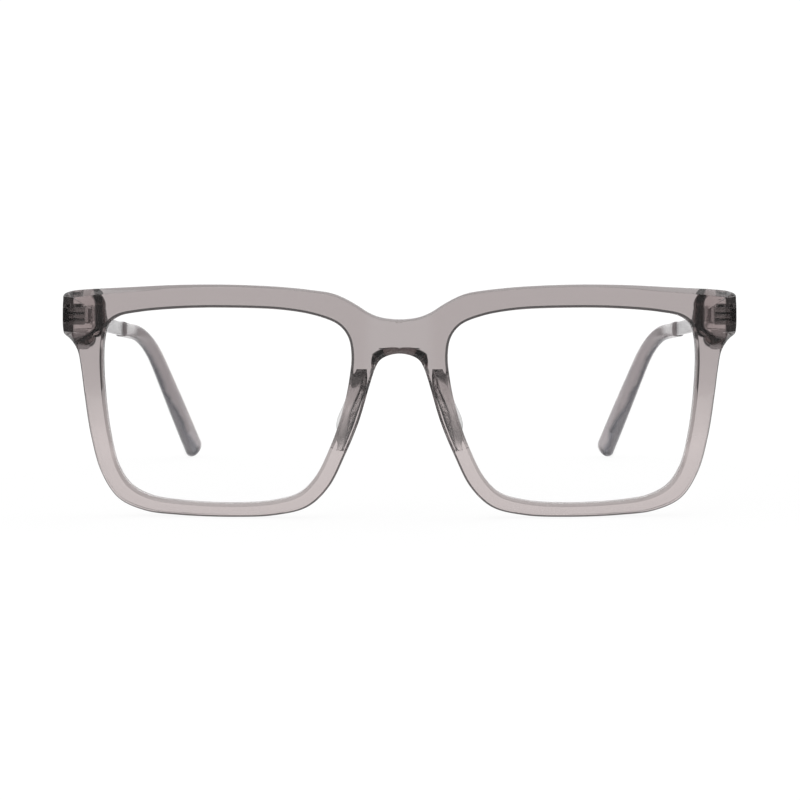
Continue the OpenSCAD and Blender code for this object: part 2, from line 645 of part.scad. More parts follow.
module spring_stop(left) {
    color([0.6, 0.6, 0.62])
    side(left) at_arm() difference() {
        bar_y(bore_d - 0.01, stop_y, stop_y + stop_l);
        bar_y(shaft_d + 2 * run_gap, stop_y - 1, stop_y + stop_l + 1);
    }
}

module housing(left) {
    inner_x = -house_in;
    outer_x = arm_x - arm_t / 2 - solder;
    house_end = house_y + house_l;
    // Outline from above: its inner edges are broken, and its rear end runs out towards the arm
    plan = [
        [inner_x + house_edge, house_y], [outer_x, house_y], [outer_x, house_end],
        [inner_x + house_edge + 1, house_end], [inner_x, house_end - 1.4], [inner_x, house_y + house_edge]
    ];
    color([0.76, 0.76, 0.78])
    side(left) at_arm() difference() {
        translate([0, 0, -house_h / 2]) linear_extrude(house_h) polygon(plan);
        bar_y(bore_d, house_y - 1, house_end - house_wall);
    }
}

// Front end of an arm, cut so that it lies flat against the end piece when the arm is opened too far
end_turn = over_open - toe_in;
end_reach = (axis_back - face_gap - arm_h / 2 * tan(lean)) / cos(end_turn);
function arm_end(p) = [p[0], p[0] * tan(end_turn) - end_reach, p[2]];
arm_s = [0, 20, 40, 60, metal_l - 0.8];
arm_rings = concat(
    [[for (p = round_section(0, arm_t / 2, arm_h / 2, 6, 12)) arm_end(p)]],
    [for (s = arm_s) round_section(s, arm_t / 2, arm_h / 2, 6, 12)],
    [round_section(metal_l, arm_t / 2 - 0.1, arm_h / 2 - 0.25, 4, 12)],
    [for (s = core_s) round_section(s, core_a(s), core_b(s), 3, 12)]
);
module arm(left) {
    color([0.75, 0.75, 0.77])
    side(left) at_arm() ring_solid(arm_rings, arm_end(path_to(0)), path_to(core_end));
}

tip_rings = concat(
    [for (i = [core_steps : -1 : 0]) let (s = core_s[i] + (i == 0 ? face_gap / 2 : 0.1))
        round_section(s, core_a(core_s[i]) + core_gap, core_b(core_s[i]) + core_gap, 3, 12)],
    [for (s = tip_outer) tip_section(s)]
);
module tip(left) {
    color([0.55, 0.53, 0.54])
    side(left) at_arm() ring_solid(tip_rings, path_to(core_end + 0.1), path_to(arm_l));
}

front_frame();
lens(true);  // left_lens
lens(false);  // right_lens
nose_pad(true);  // left_nose_pad
nose_pad(false);  // right_nose_pad
front_hinge(true);  // left_front_hinge
front_hinge(false);  // right_front_hinge
hinge_screw(true);  // left_hinge_screw
hinge_screw(false);  // right_hinge_screw
slider(true);  // left_slider
slider(false);  // right_slider
shaft_nut(true);  // left_shaft_nut
shaft_nut(false);  // right_shaft_nut
spring(true);  // left_spring
spring(false);  // right_spring
spring_stop(true);  // left_spring_stop
spring_stop(false);  // right_spring_stop
housing(true);  // left_housing
housing(false);  // right_housing
arm(true);  // left_arm
arm(false);  // right_arm
tip(true);  // left_tip
tip(false);  // right_tip
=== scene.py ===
"""Looks of a pair of flat-top rectangular eyeglasses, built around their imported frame.

The front, lenses, pads, arms and tips are lofted here from the same rules as the solids, with
finer steps and polished edges. The small hinge parts keep the solids' shapes, with broken edges.
Shapes are worked out in millimetres and turned into metres when a mesh is made.
"""

import json
import logging
import math
from dataclasses import dataclass, field
from enum import Enum
from typing import Iterable, Sequence

import bmesh
import bpy
import numpy as np
from bpy.types import ID, Material, Mesh, Node, NodeSocket, NodeTree, Object, World
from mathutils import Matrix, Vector


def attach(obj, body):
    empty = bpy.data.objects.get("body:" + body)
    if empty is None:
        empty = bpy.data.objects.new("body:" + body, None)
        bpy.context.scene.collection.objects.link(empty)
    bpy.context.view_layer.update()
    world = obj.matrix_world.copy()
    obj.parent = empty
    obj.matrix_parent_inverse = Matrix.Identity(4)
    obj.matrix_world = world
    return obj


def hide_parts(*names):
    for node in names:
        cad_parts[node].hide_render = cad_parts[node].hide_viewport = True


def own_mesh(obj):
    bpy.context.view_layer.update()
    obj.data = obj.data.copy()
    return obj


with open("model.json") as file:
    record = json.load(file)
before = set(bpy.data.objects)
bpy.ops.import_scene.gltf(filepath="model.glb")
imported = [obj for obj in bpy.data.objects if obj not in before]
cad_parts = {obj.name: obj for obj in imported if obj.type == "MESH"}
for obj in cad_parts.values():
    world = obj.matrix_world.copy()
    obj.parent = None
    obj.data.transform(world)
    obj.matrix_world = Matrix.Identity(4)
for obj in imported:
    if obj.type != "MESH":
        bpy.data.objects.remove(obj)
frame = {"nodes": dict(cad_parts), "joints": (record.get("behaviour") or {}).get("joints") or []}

LOG = logging.getLogger("eyeglasses")
MM = 0.001
EVEN = (1.0, 1.0, 1.0)
NOISE_MIDDLE = (0.3, 0.7)
Points = np.ndarray
Values = Points | float
Faces = list[tuple[int, ...]]
Span = tuple[float, float]
Place = tuple[float, float, float]
Colour = tuple[float, float, float, float]
Input = NodeSocket | float | tuple[float, ...]


class Side(Enum):
    """The wearer's left is on +X and the right on -X."""

    LEFT = 1
    RIGHT = -1

    def node(self, part: str) -> str:
        """Name of this side's CAD node of a part."""
        return f"{self.name.lower()}_{part}"


class Body(Enum):
    """The bodies that pieces ride on, apart from the two sides' own."""

    FRONT = "front"
    KNUCKLE = "knuckle"
    TEMPLE = "temple"

    def of(self, side: Side) -> str:
        """Name of the body on a side."""
        return self.value if self is Body.FRONT else side.node(self.value)


def opaque(*levels: float) -> Colour:
    """A colour from its red, green and blue, or a grey from one level."""
    red, green, blue = levels if len(levels) > 1 else levels * 3
    return (red, green, blue, 1.0)


def smooth(share: Values) -> Values:
    """Eases a share from 0 to 1, with level ends."""
    held = np.clip(share, 0.0, 1.0)
    return held * held * (3.0 - 2.0 * held)


def mix(first: Values, second: Values, share: Values) -> Values:
    """Value part of the way from the first to the second."""
    return first + (second - first) * share


def unit(vectors: Points) -> Points:
    """Vectors of length one, and zero where a vector has no length."""
    length = np.linalg.norm(vectors, axis=-1, keepdims=True)
    return np.divide(vectors, length, out=np.zeros_like(vectors), where=length > 1e-9)


def column(values: Points) -> Points:
    """A list of numbers as a column, to multiply points with."""
    return np.asarray(values, float)[:, None]


def outward(steps: Points) -> Points:
    """Normals on the outer side of steps along a curve."""
    return unit(np.stack([steps[:, 1], -steps[:, 0]], axis=1))


def between(p0: Points, p1: Points, p2: Points, p3: Points, share: Points) -> Points:
    """Points of a smooth curve through four neighbouring anchors.

    Args:
        p0: Anchors before the stretch.
        p1: Anchors at its start.
        p2: Anchors at its end.
        p3: Anchors after it.
        share: How far along the stretch each point lies, as a column.

    Returns:
        One point for each row of the anchors.
    """
    d0, d1, d2 = (
        np.sqrt(np.linalg.norm(b - a, axis=1, keepdims=True))
        for a, b in ((p0, p1), (p1, p2), (p2, p3))
    )
    m1 = ((p1 - p0) / d0 - (p2 - p0) / (d0 + d1) + (p2 - p1) / d1) * d1
    m2 = ((p2 - p1) / d1 - (p3 - p1) / (d1 + d2) + (p3 - p2) / d2) * d1
    squared = share * share
    cubed = squared * share
    start = (2 * cubed - 3 * squared + 1) * p1 + (cubed - 2 * squared + share) * m1
    return start + (3 * squared - 2 * cubed) * p2 + (cubed - squared) * m2


@dataclass
class MeshParts:
    """Points in millimetres and faces of one mesh, on the wearer's left."""

    points: Points
    faces: Faces

    def on(self, side: Side) -> "MeshParts":
        """The same mesh on a side, with its faces turned to point outwards.

        Args:
            side: The side that it goes to.

        Returns:
            The mesh itself on the left, or its mirror image on the right.
        """
        if side is Side.LEFT:
            return self
        flipped = self.points * np.array([-1.0, 1.0, 1.0])
        return MeshParts(flipped, [tuple(reversed(face)) for face in self.faces])

    def joined(self, other: "MeshParts") -> "MeshParts":
        """This mesh and another as one.

        Args:
            other: The other mesh.

        Returns:
            A mesh with the points and faces of both.
        """
        shift = len(self.points)
        moved = [tuple(index + shift for index in face) for face in other.faces]
        return MeshParts(np.vstack([self.points, other.points]), self.faces + moved)


def loft(rings: Sequence[Points], caps: Sequence[Points] = ()) -> MeshParts:
    """A skin over closed rings of points, with a fan of faces over each end.

    Args:
        rings: Rings of points, all of one length.
        caps: Middle points of both ends' caps, where they aren't the rings' own middles.

    Returns:
        The skin, with its faces outwards where the rings turn to the left along the course.
    """
    count = len(rings[0])
    turn = [(k, (k + 1) % count) for k in range(count)]
    faces = [
        (low + k, low + after, low + count + after, low + count + k)
        for low in range(0, (len(rings) - 1) * count, count)
        for k, after in turn
    ]
    end = len(rings) * count
    faces += [(end, after, k) for k, after in turn]
    faces += [(end + 1, end - count + k, end - count + after) for k, after in turn]
    caps = caps or [ring.mean(axis=0) for ring in (rings[0], rings[-1])]
    return MeshParts(np.vstack([*rings, *caps]), faces)


def add_object(name: str, data: ID) -> Object:
    """Adds an object to the scene, at the origin.

    Args:
        name: Its name.
        data: Its mesh, lamp or camera.

    Returns:
        The object.
    """
    obj = bpy.data.objects.new(name, data)
    bpy.context.scene.collection.objects.link(obj)
    return obj


def dress(mesh: Mesh, material: Material) -> None:
    """Shades a mesh smoothly and gives it one finish.

    Args:
        mesh: The mesh.
        material: Its finish.
    """
    mesh.polygons.foreach_set("use_smooth", [True] * len(mesh.polygons))
    mesh.materials.clear()
    mesh.materials.append(material)


def make_object(name: str, parts: MeshParts, material: Material) -> Object:
    """Makes an object in metres from a mesh in millimetres.

    Args:
        name: Name of the piece.
        parts: Its points and faces.
        material: Its finish.

    Returns:
        The object, smooth shaded, at the origin.
    """
    mesh = bpy.data.meshes.new(name)
    mesh.from_pydata((parts.points * MM).tolist(), [], parts.faces)
    mesh.validate()
    dress(mesh, material)
    return add_object(name, mesh)


def merge_points(obj: Object, distance: float) -> None:
    """Joins points of an object's mesh that lie closer than a distance in metres.

    Args:
        obj: The object.
        distance: The distance in metres.
    """
    work = bmesh.new()
    work.from_mesh(obj.data)
    bmesh.ops.remove_doubles(work, verts=work.verts, dist=distance)
    bmesh.ops.dissolve_degenerate(work, edges=work.edges, dist=distance)
    work.to_mesh(obj.data)
    work.free()


def even_shading(obj: Object) -> None:
    """Makes large faces look flat and leaves the turn of light to the small ones beside them.

    Args:
        obj: The object.
    """
    shading = obj.modifiers.new("even_shading", "WEIGHTED_NORMAL")
    shading.weight = 90
    shading.keep_sharp = True


def settle(obj: Object, body: str, nodes: Iterable[str]) -> None:
    """Seats a finished piece on its body.

    Args:
        obj: The piece.
        body: The body that it moves with.
        nodes: CAD nodes that it stands for.
    """
    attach(obj, body)
    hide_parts(*nodes)
    LOG.info("%s rides on %s, %d faces", obj.name, body, len(obj.data.polygons))


def build_pair(
    parts: MeshParts, part: str, look: str, body: Body, material: Material
) -> None:
    """Makes a piece on the left and its mirror image on the right.

    Args:
        parts: Points and faces of the left piece.
        part: The CAD nodes' name without their side.
        look: Last word of the pieces' names.
        body: The body that each moves with.
        material: Their finish.
    """
    for side in Side:
        node = side.node(part)
        obj = make_object(f"{node}_{look}", parts.on(side), material)
        even_shading(obj)
        settle(obj, body.of(side), [node])


class Tree:
    """The node tree of a material or a world, with short calls to add and join nodes."""

    def __init__(self, owner: Material | World) -> None:
        """Empties the owner's tree, apart from a new output.

        Args:
            owner: The material or world.
        """
        owner.use_nodes = True
        self.nodes, self.links = owner.node_tree.nodes, owner.node_tree.links
        self.nodes.clear()
        kind = "World" if isinstance(owner, World) else "Material"
        self.output = self.add(f"Output{kind}")

    def feed(self, value: Input, target: NodeSocket) -> None:
        """Gives an input a plain value, or joins it to a socket.

        Args:
            value: The value, or the socket that gives it.
            target: The input.
        """
        if isinstance(value, NodeSocket):
            self.links.new(value, target)
        else:
            target.default_value = value

    def fill(self, node: Node, values: dict[str, Input]) -> None:
        """Feeds inputs of a node by their names."""
        for name, value in values.items():
            self.feed(value, node.inputs[name])

    def add(self, kind: str, *first: Input, **settings: object) -> Node:
        """Adds a node.

        Args:
            kind: The end of its type's name.
            first: Values or sockets for its first inputs, in their order.
            settings: Its properties.

        Returns:
            The node.
        """
        node = self.nodes.new(f"ShaderNode{kind}")
        for key, value in settings.items():
            setattr(node, key, value)
        for value, target in zip(first, node.inputs):
            self.feed(value, target)
        return node

    def math(self, operation: str, *values: Input) -> NodeSocket:
        """The result of a sum on numbers and sockets."""
        return self.add("Math", *values, operation=operation).outputs[0]

    def most(self, first: NodeSocket, *others: NodeSocket) -> NodeSocket:
        """The highest of some sockets.

        Args:
            first: One socket.
            others: The sockets to compare it with.

        Returns:
            The highest value at each place.
        """
        for other in others:
            first = self.math("MAXIMUM", first, other)
        return first

    def ease(self, source: NodeSocket, *ends: float) -> NodeSocket:
        """Goes softly from one value to another; ends are the start, the stop and the values."""
        return self.add("MapRange", source, *ends, interpolation_type="SMOOTHSTEP").outputs[0]

    def place(self, stretch: Place = EVEN) -> NodeSocket:
        """Object coordinates, stretched along each axis.

        Args:
            stretch: Scale along each axis.

        Returns:
            The coordinates.
        """
        node = self.add("Mapping", self.add("TexCoord").outputs["Object"])
        self.fill(node, {"Scale": stretch})
        return node.outputs["Vector"]

    def noise(self, place: NodeSocket, scale: float, detail: float) -> NodeSocket:
        """A noise pattern, from 0 to 1.

        Args:
            place: Its coordinates.
            scale: How fine it is.
            detail: How many finer layers lie over it.

        Returns:
            The pattern.
        """
        node = self.add("TexNoise")
        self.fill(node, {"Vector": place, "Scale": scale, "Detail": detail})
        return node.outputs["Fac"]

    def spread(self, source: NodeSocket, low: float, high: float) -> NodeSocket:
        """Maps a pattern's middle range to values from low to high."""
        return self.add("MapRange", source, *NOISE_MIDDLE, low, high).outputs[0]

    def tint(self, source: NodeSocket, first: Colour, second: Colour) -> NodeSocket:
        """A colour between two, by a pattern.

        Args:
            source: The pattern.
            first: Colour where it is 0.
            second: Colour where it is 1.

        Returns:
            The colour.
        """
        blend = self.add("Mix", source, data_type="RGBA")
        ends = [socket for socket in blend.inputs if socket.type == "RGBA"]
        for colour, socket in zip((first, second), ends):
            self.feed(colour, socket)
        return next(socket for socket in blend.outputs if socket.type == "RGBA")

    def ramp(self, source: NodeSocket, tints: tuple[tuple[float, Colour], ...]) -> NodeSocket:
        """A colour that goes softly through tints as the source goes from 0 to 1.

        Args:
            source: What the colour follows.
            tints: The tints, each with its place from 0 to 1.

        Returns:
            The colour.
        """
        node = self.add("ValToRGB", source)
        node.color_ramp.interpolation = "EASE"
        elements = node.color_ramp.elements
        for index, (place, colour) in enumerate(tints):
            element = elements[index] if index < len(elements) else elements.new(place)
            element.position, element.color = place, colour
        return node.outputs[0]

    def dimmed(self, colour: NodeSocket, level: NodeSocket) -> NodeSocket:
        """A colour times a level.

        Args:
            colour: The colour.
            level: What it is multiplied by.

        Returns:
            The dimmed colour.
        """
        node = self.add("VectorMath", colour, operation="SCALE")
        self.fill(node, {"Scale": level})
        return node.outputs[0]

    def bump(self, height: NodeSocket, strength: float, depth: float) -> NodeSocket:
        """A normal that follows a height pattern of a depth in metres.

        Args:
            height: The pattern.
            strength: How much of it shows, from 0 to 1.
            depth: Its depth in metres.

        Returns:
            The normal.
        """
        node = self.add("Bump")
        self.fill(node, {"Strength": strength, "Distance": depth, "Height": height})
        return node.outputs["Normal"]


@dataclass(frozen=True)
class Fade:
    """A slow change of tint through a piece, with painted shade that can darken one side of it.

    Attributes:
        axis: The axis along which it changes.
        start: Where the change starts, in metres.
        stop: Where it ends, in metres.
        tints: Tints on the way, each with its share of the way.
        slope: Lean of the piece's middle line, as metres out for each metre up.
        middle: Where that line meets the table, in metres from the middle plane.
        side_shade: How much of the way one metre from that line adds.
    """

    axis: str
    start: float
    stop: float
    tints: tuple[tuple[float, Colour], ...]
    slope: float = 0.0
    middle: float = 0.0
    side_shade: float = 0.0

    def share(self, tree: Tree, split: Node, aside: NodeSocket) -> NodeSocket:
        """How far each place lies along the tints, from its coordinates and distance aside.

        Args:
            tree: The material's tree.
            split: The node that gives each place's coordinates.
            aside: Distance from the middle plane.

        Returns:
            The share of the way at each place.
        """
        share = tree.add("MapRange", split.outputs[self.axis], self.start, self.stop).outputs[0]
        # Painted shade: places to one side of the piece's middle line move further along the tints.
        line = tree.math("MULTIPLY_ADD", split.outputs["Z"], -self.slope, aside)
        across = tree.math("MULTIPLY_ADD", line, self.side_shade, -self.side_shade * self.middle)
        return tree.math("ADD", share, across)


@dataclass(frozen=True)
class Finish:
    """A finish, which can be made into a material."""

    name: str

    def inputs(self, tree: Tree) -> dict[str, Input]:
        """The shader's inputs by their names."""
        raise NotImplementedError

    def make(self) -> Material:
        """The material.

        Returns:
            The material, with its shader joined to the output.
        """
        material = bpy.data.materials.new(self.name)
        tree = Tree(material)
        shader = tree.add("BsdfPrincipled")
        tree.fill(shader, self.inputs(tree))
        tree.feed(shader.outputs["BSDF"], tree.output.inputs["Surface"])
        return material


@dataclass(frozen=True)
class Acetate(Finish):
    """Clear tinted acetate with a tumbled polish, which takes light by its depth.

    Attributes:
        density: How much light the inside takes.
        clearness: Share of light that goes through the surface.
        facet: Where the end piece's facet starts and is whole, in metres from the middle plane,
        and the tint's level before and on it, where a lower level is painted shade.
        cloud: How far the clouds inside shift the fade.
        cloud_size: Their stretch, scale and detail.
    """

    density: float
    clearness: float
    fade: Fade
    facet: tuple[float, float, float, float] = (0.0683, 0.0687, 1.0, 1.0)
    ior: float = 1.49
    polish: Span = (0.015, 0.05)
    absorbed: Colour = (0.68, 0.608, 0.6, 1.0)
    cloud: float = 0.12
    cloud_size: tuple[Place, float, float] = ((0.4, 1.0, 1.0), 120.0, 3.0)
    ripple: float = 0.05
    ripple_d: float = 0.0002

    def inputs(self, tree: Tree) -> dict[str, Input]:
        """The shader's inputs, after the inside is joined to the tree's output.

        Args:
            tree: The material's tree.

        Returns:
            Values or sockets by the inputs' names.
        """
        inside = tree.add("VolumeAbsorption", self.absorbed, self.density)
        tree.feed(inside.outputs["Volume"], tree.output.inputs["Volume"])
        place = tree.place()
        split = tree.add("SeparateXYZ", place)
        aside = tree.math("ABSOLUTE", split.outputs["X"])
        stretch, scale, detail = self.cloud_size
        clouds = tree.noise(tree.place(stretch), scale, detail)
        share = self.fade.share(tree, split, aside)
        share = tree.math("ADD", share, tree.spread(clouds, -self.cloud, self.cloud))
        # Painted shade: the tint is dimmed towards the end pieces' facets.
        colour = tree.dimmed(tree.ramp(share, self.fade.tints), tree.ease(aside, *self.facet))
        return {
            "Base Color": colour,
            "Roughness": tree.spread(tree.noise(place, 700.0, 4.0), *self.polish),
            "IOR": self.ior,
            "Normal": tree.bump(tree.noise(place, 260.0, 1.0), self.ripple, self.ripple_d),
            "Transmission Weight": self.clearness,
        }


@dataclass(frozen=True)
class ClearLens(Finish):
    """Clear lens with a coat that lets nearly all light straight through."""

    ior: float = 1.01
    body: float = 0.15
    coat_roughness: float = 0.02
    polish: Span = (0.0, 0.012)

    def inputs(self, tree: Tree) -> dict[str, Input]:
        """The shader's inputs.

        Args:
            tree: The material's tree.

        Returns:
            Values or sockets by the inputs' names.
        """
        film = tree.noise(tree.place(), 60.0, 2.0)
        return {
            "Base Color": opaque(1.0),
            "Roughness": tree.spread(film, *self.polish),
            "IOR": self.ior,
            "Alpha": self.body,
            "Transmission Weight": 1.0,
            "Coat Weight": 1.0,
            "Coat Roughness": self.coat_roughness,
        }


@dataclass(frozen=True)
class SatinMetal(Finish):
    """Metal with a fine brushed grain along the arms, or an even satin grain."""

    pale: Colour
    dark: Colour
    polish: Span
    grain: Place = (1.0, 0.05, 1.0)
    anisotropy: float = 0.4
    relief: float = 0.02
    relief_d: float = 0.00004

    def inputs(self, tree: Tree) -> dict[str, Input]:
        """The shader's inputs.

        Args:
            tree: The material's tree.

        Returns:
            Values or sockets by the inputs' names.
        """
        lines = tree.noise(tree.place(self.grain), 4200.0, 3.0)
        stains = tree.noise(tree.place((1.0, 0.4, 1.0)), 160.0, 2.0)
        return {
            "Base Color": tree.tint(tree.spread(stains, 0.0, 1.0), self.pale, self.dark),
            "Metallic": 1.0,
            "Roughness": tree.spread(lines, *self.polish),
            "Normal": tree.bump(lines, self.relief, self.relief_d),
            "Anisotropic": self.anisotropy,
        }


class Finishes:
    """All materials of the glasses, made once."""

    def __init__(self) -> None:
        """Makes the materials."""
        clear, thick = opaque(1.0), opaque(0.74, 0.74, 0.745)
        low, middle, high = opaque(0.36), opaque(0.86), opaque(0.2)
        rose, slate = opaque(0.82, 0.745, 0.755), opaque(0.28, 0.28, 0.315)
        ash = opaque(0.4, 0.4, 0.43)
        # Painted shade: the front's tint darkens from clear at the lower rim up to a grey at the
        # brow.
        front = Fade("Z", 0.012, 0.034, ((0.0, clear), (1.0, thick)))
        # Painted shade on the pads: a dark band low down, a dark top end, and one side darker than
        # the other.
        greys = ((0.0, clear), (0.22, low), (0.6, middle), (0.9, middle), (0.96, high))
        pad = Fade("Z", 0.0145, 0.03, greys, slope=-0.23, middle=0.015, side_shade=60.0)
        # The tips go from clear by the arm through rose to slate and ash at their ends; painted
        # shade darkens their outer sides.
        greys = ((0.0, clear), (0.3, rose), (0.62, rose), (0.84, slate), (1.0, ash))
        tip = Fade("Y", 0.09, 0.146, greys, slope=0.3246, middle=0.05383, side_shade=180.0)
        # Painted shade: the front's tint drops to 0.45 of its level on the end pieces' facets.
        facet = (0.0683, 0.0687, 1.0, 0.45)
        self.front = Acetate("front_acetate", 400.0, 0.96, front, facet).make()
        self.pad = Acetate("pad_acetate", 60.0, 0.9, pad, ior=1.12, polish=(0.04, 0.08)).make()
        self.tip = Acetate("tip_acetate", 120.0, 0.6, tip, polish=(0.16, 0.24)).make()
        self.lens = ClearLens("clear_lens").make()
        silver, milled = opaque(0.67, 0.65, 0.66), opaque(0.5, 0.49, 0.49)
        self.arm = SatinMetal("satin_arm", silver, opaque(0.59, 0.57, 0.58), (0.2, 0.28)).make()
        worn, even = opaque(0.42, 0.41, 0.41), (EVEN, 0.0)
        self.hinge = SatinMetal("machined_hinge", milled, worn, (0.16, 0.26), *even).make()
        drawn, dull = opaque(0.55, 0.55, 0.57), opaque(0.46, 0.46, 0.49)
        self.wire = SatinMetal("drawn_wire", drawn, dull, (0.2, 0.35), *even).make()


@dataclass
class FrontFace:
    """The curved face that the whole front is bent over."""

    middle_z: float
    wrap_r: float = 320.0
    drop_r: float = 220.0

    def depth(self, across: Values, height: Values) -> Values:
        """How far the face lies behind its foremost line."""
        return across**2 / (2 * self.wrap_r) + (height - self.middle_z) ** 2 / (2 * self.drop_r)

    def at(self, flat: Points, depth: Values) -> Points:
        """Points at a depth behind the face, from their places across and up."""
        x, z = flat.T
        return np.stack([x, self.depth(x, z) + depth, z], axis=1)


@dataclass
class LensOpening:
    """The left rim's opening, as a curve through anchors from its top towards the nose."""

    lens_w: float = 54.0
    lens_h: float = 42.2
    lens_gap: float = 18.5
    groove: float = 0.6
    rim_bottom: float = 2.85
    step: float = 0.05
    shape: tuple[Span, ...] = (
        (0, 1), (-0.464, 0.978), (-0.729, 0.917), (-0.892, 0.829), (-0.968, 0.707),
        (-0.994, 0.532), (-0.975, 0.263), (-0.911, -0.102), (-0.82, -0.429), (-0.706, -0.722),
        (-0.578, -0.888), (-0.366, -0.97), (-0.048, -1), (0.37, -0.98), (0.616, -0.93),
        (0.771, -0.822), (0.87, -0.627), (0.934, -0.288), (0.975, 0.15), (0.987, 0.493),
        (0.975, 0.69), (0.945, 0.82), (0.862, 0.905), (0.691, 0.953), (0.37, 0.99),
    )  # fmt: skip

    def __post_init__(self) -> None:
        """Works out the opening's middle and half sizes."""
        self.middle_x = (self.lens_gap + self.lens_w) / 2
        self.half_w = self.lens_w / 2 - self.groove
        self.half_h = self.lens_h / 2 - self.groove
        self.middle_z = self.rim_bottom + self.half_h
        self.top = self.middle_z + self.half_h
        self.inner = self.middle_x - self.half_w
        self.outer = self.middle_x + self.half_w
        self.middle = np.array([self.middle_x, self.middle_z])

    def anchor(self, index: Points) -> Points:
        """Anchors by their number, which may run on past the last."""
        shares = np.array(self.shape, float)[np.mod(index, len(self.shape))]
        return self.middle + shares * np.array([self.half_w, self.half_h])

    def point(self, position: Values) -> Points:
        """Points of the opening at positions counted in anchors.

        Args:
            position: The positions, which may run on past the last anchor.

        Returns:
            One point for each position.
        """
        position = np.atleast_1d(np.asarray(position, float))
        index = np.floor(position).astype(int)
        four = [self.anchor(index + shift) for shift in (-1, 0, 1, 2)]
        return between(*four, column(position - index))

    def normal(self, position: Values) -> Points:
        """Normals that point from the opening into the rim."""
        return outward(self.point(position + self.step) - self.point(position - self.step))

    def rim(self, position: float, width: float) -> Span:
        """A point in the rim at a width from the opening."""
        found = self.point(position)[0] + self.normal(position)[0] * width
        return float(found[0]), float(found[1])


@dataclass
class FrontSizes:
    """Driving sizes of the front, in millimetres."""

    front_w: float = 142.9
    thick: float = 4.0
    rim_top: float = 4.8
    rim_side: float = 4.7
    rim_corner: float = 3.9
    rim_bottom: float = 2.85
    rim_nose: float = 3.5
    rim_arch: float = 4.4
    bridge_drop: float = 7.15
    bridge_h: float = 7.1
    arch_w: float = 5.2
    end_h: float = 9.8
    brow_fall: float = 1.05
    end_r: float = 1.8
    end_t: float = 5.8
    facet_w: float = 2.85
    facet_d: float = 3.8
    block_w: float = 9.8
    block_wall: float = 2.6
    block_r: float = 3.0
    block_edge: float = 1.3
    bevel: float = 0.5
    brow_bevel: float = 1.3
    open_bevel: float = 0.6
    back_edge: float = 0.4
    saddle_w: float = 1.8
    relief_d: float = 0.5
    relief_w: float = 8.4
    relief_wall: float = 3.4
    polish_r: float = 0.11


@dataclass
class Row:
    """One anchor of the front's outline.

    Attributes:
        point: Its place across and up.
        position: Where the lens opening faces it, counted in the opening's anchors.
        bevel: Width of the front bevel.
        facet: Share of the end piece's facet.
        back: Width of the broken edge on the back.
    """

    point: Span
    position: float
    bevel: float
    facet: float = 0.0
    back: float = 0.4


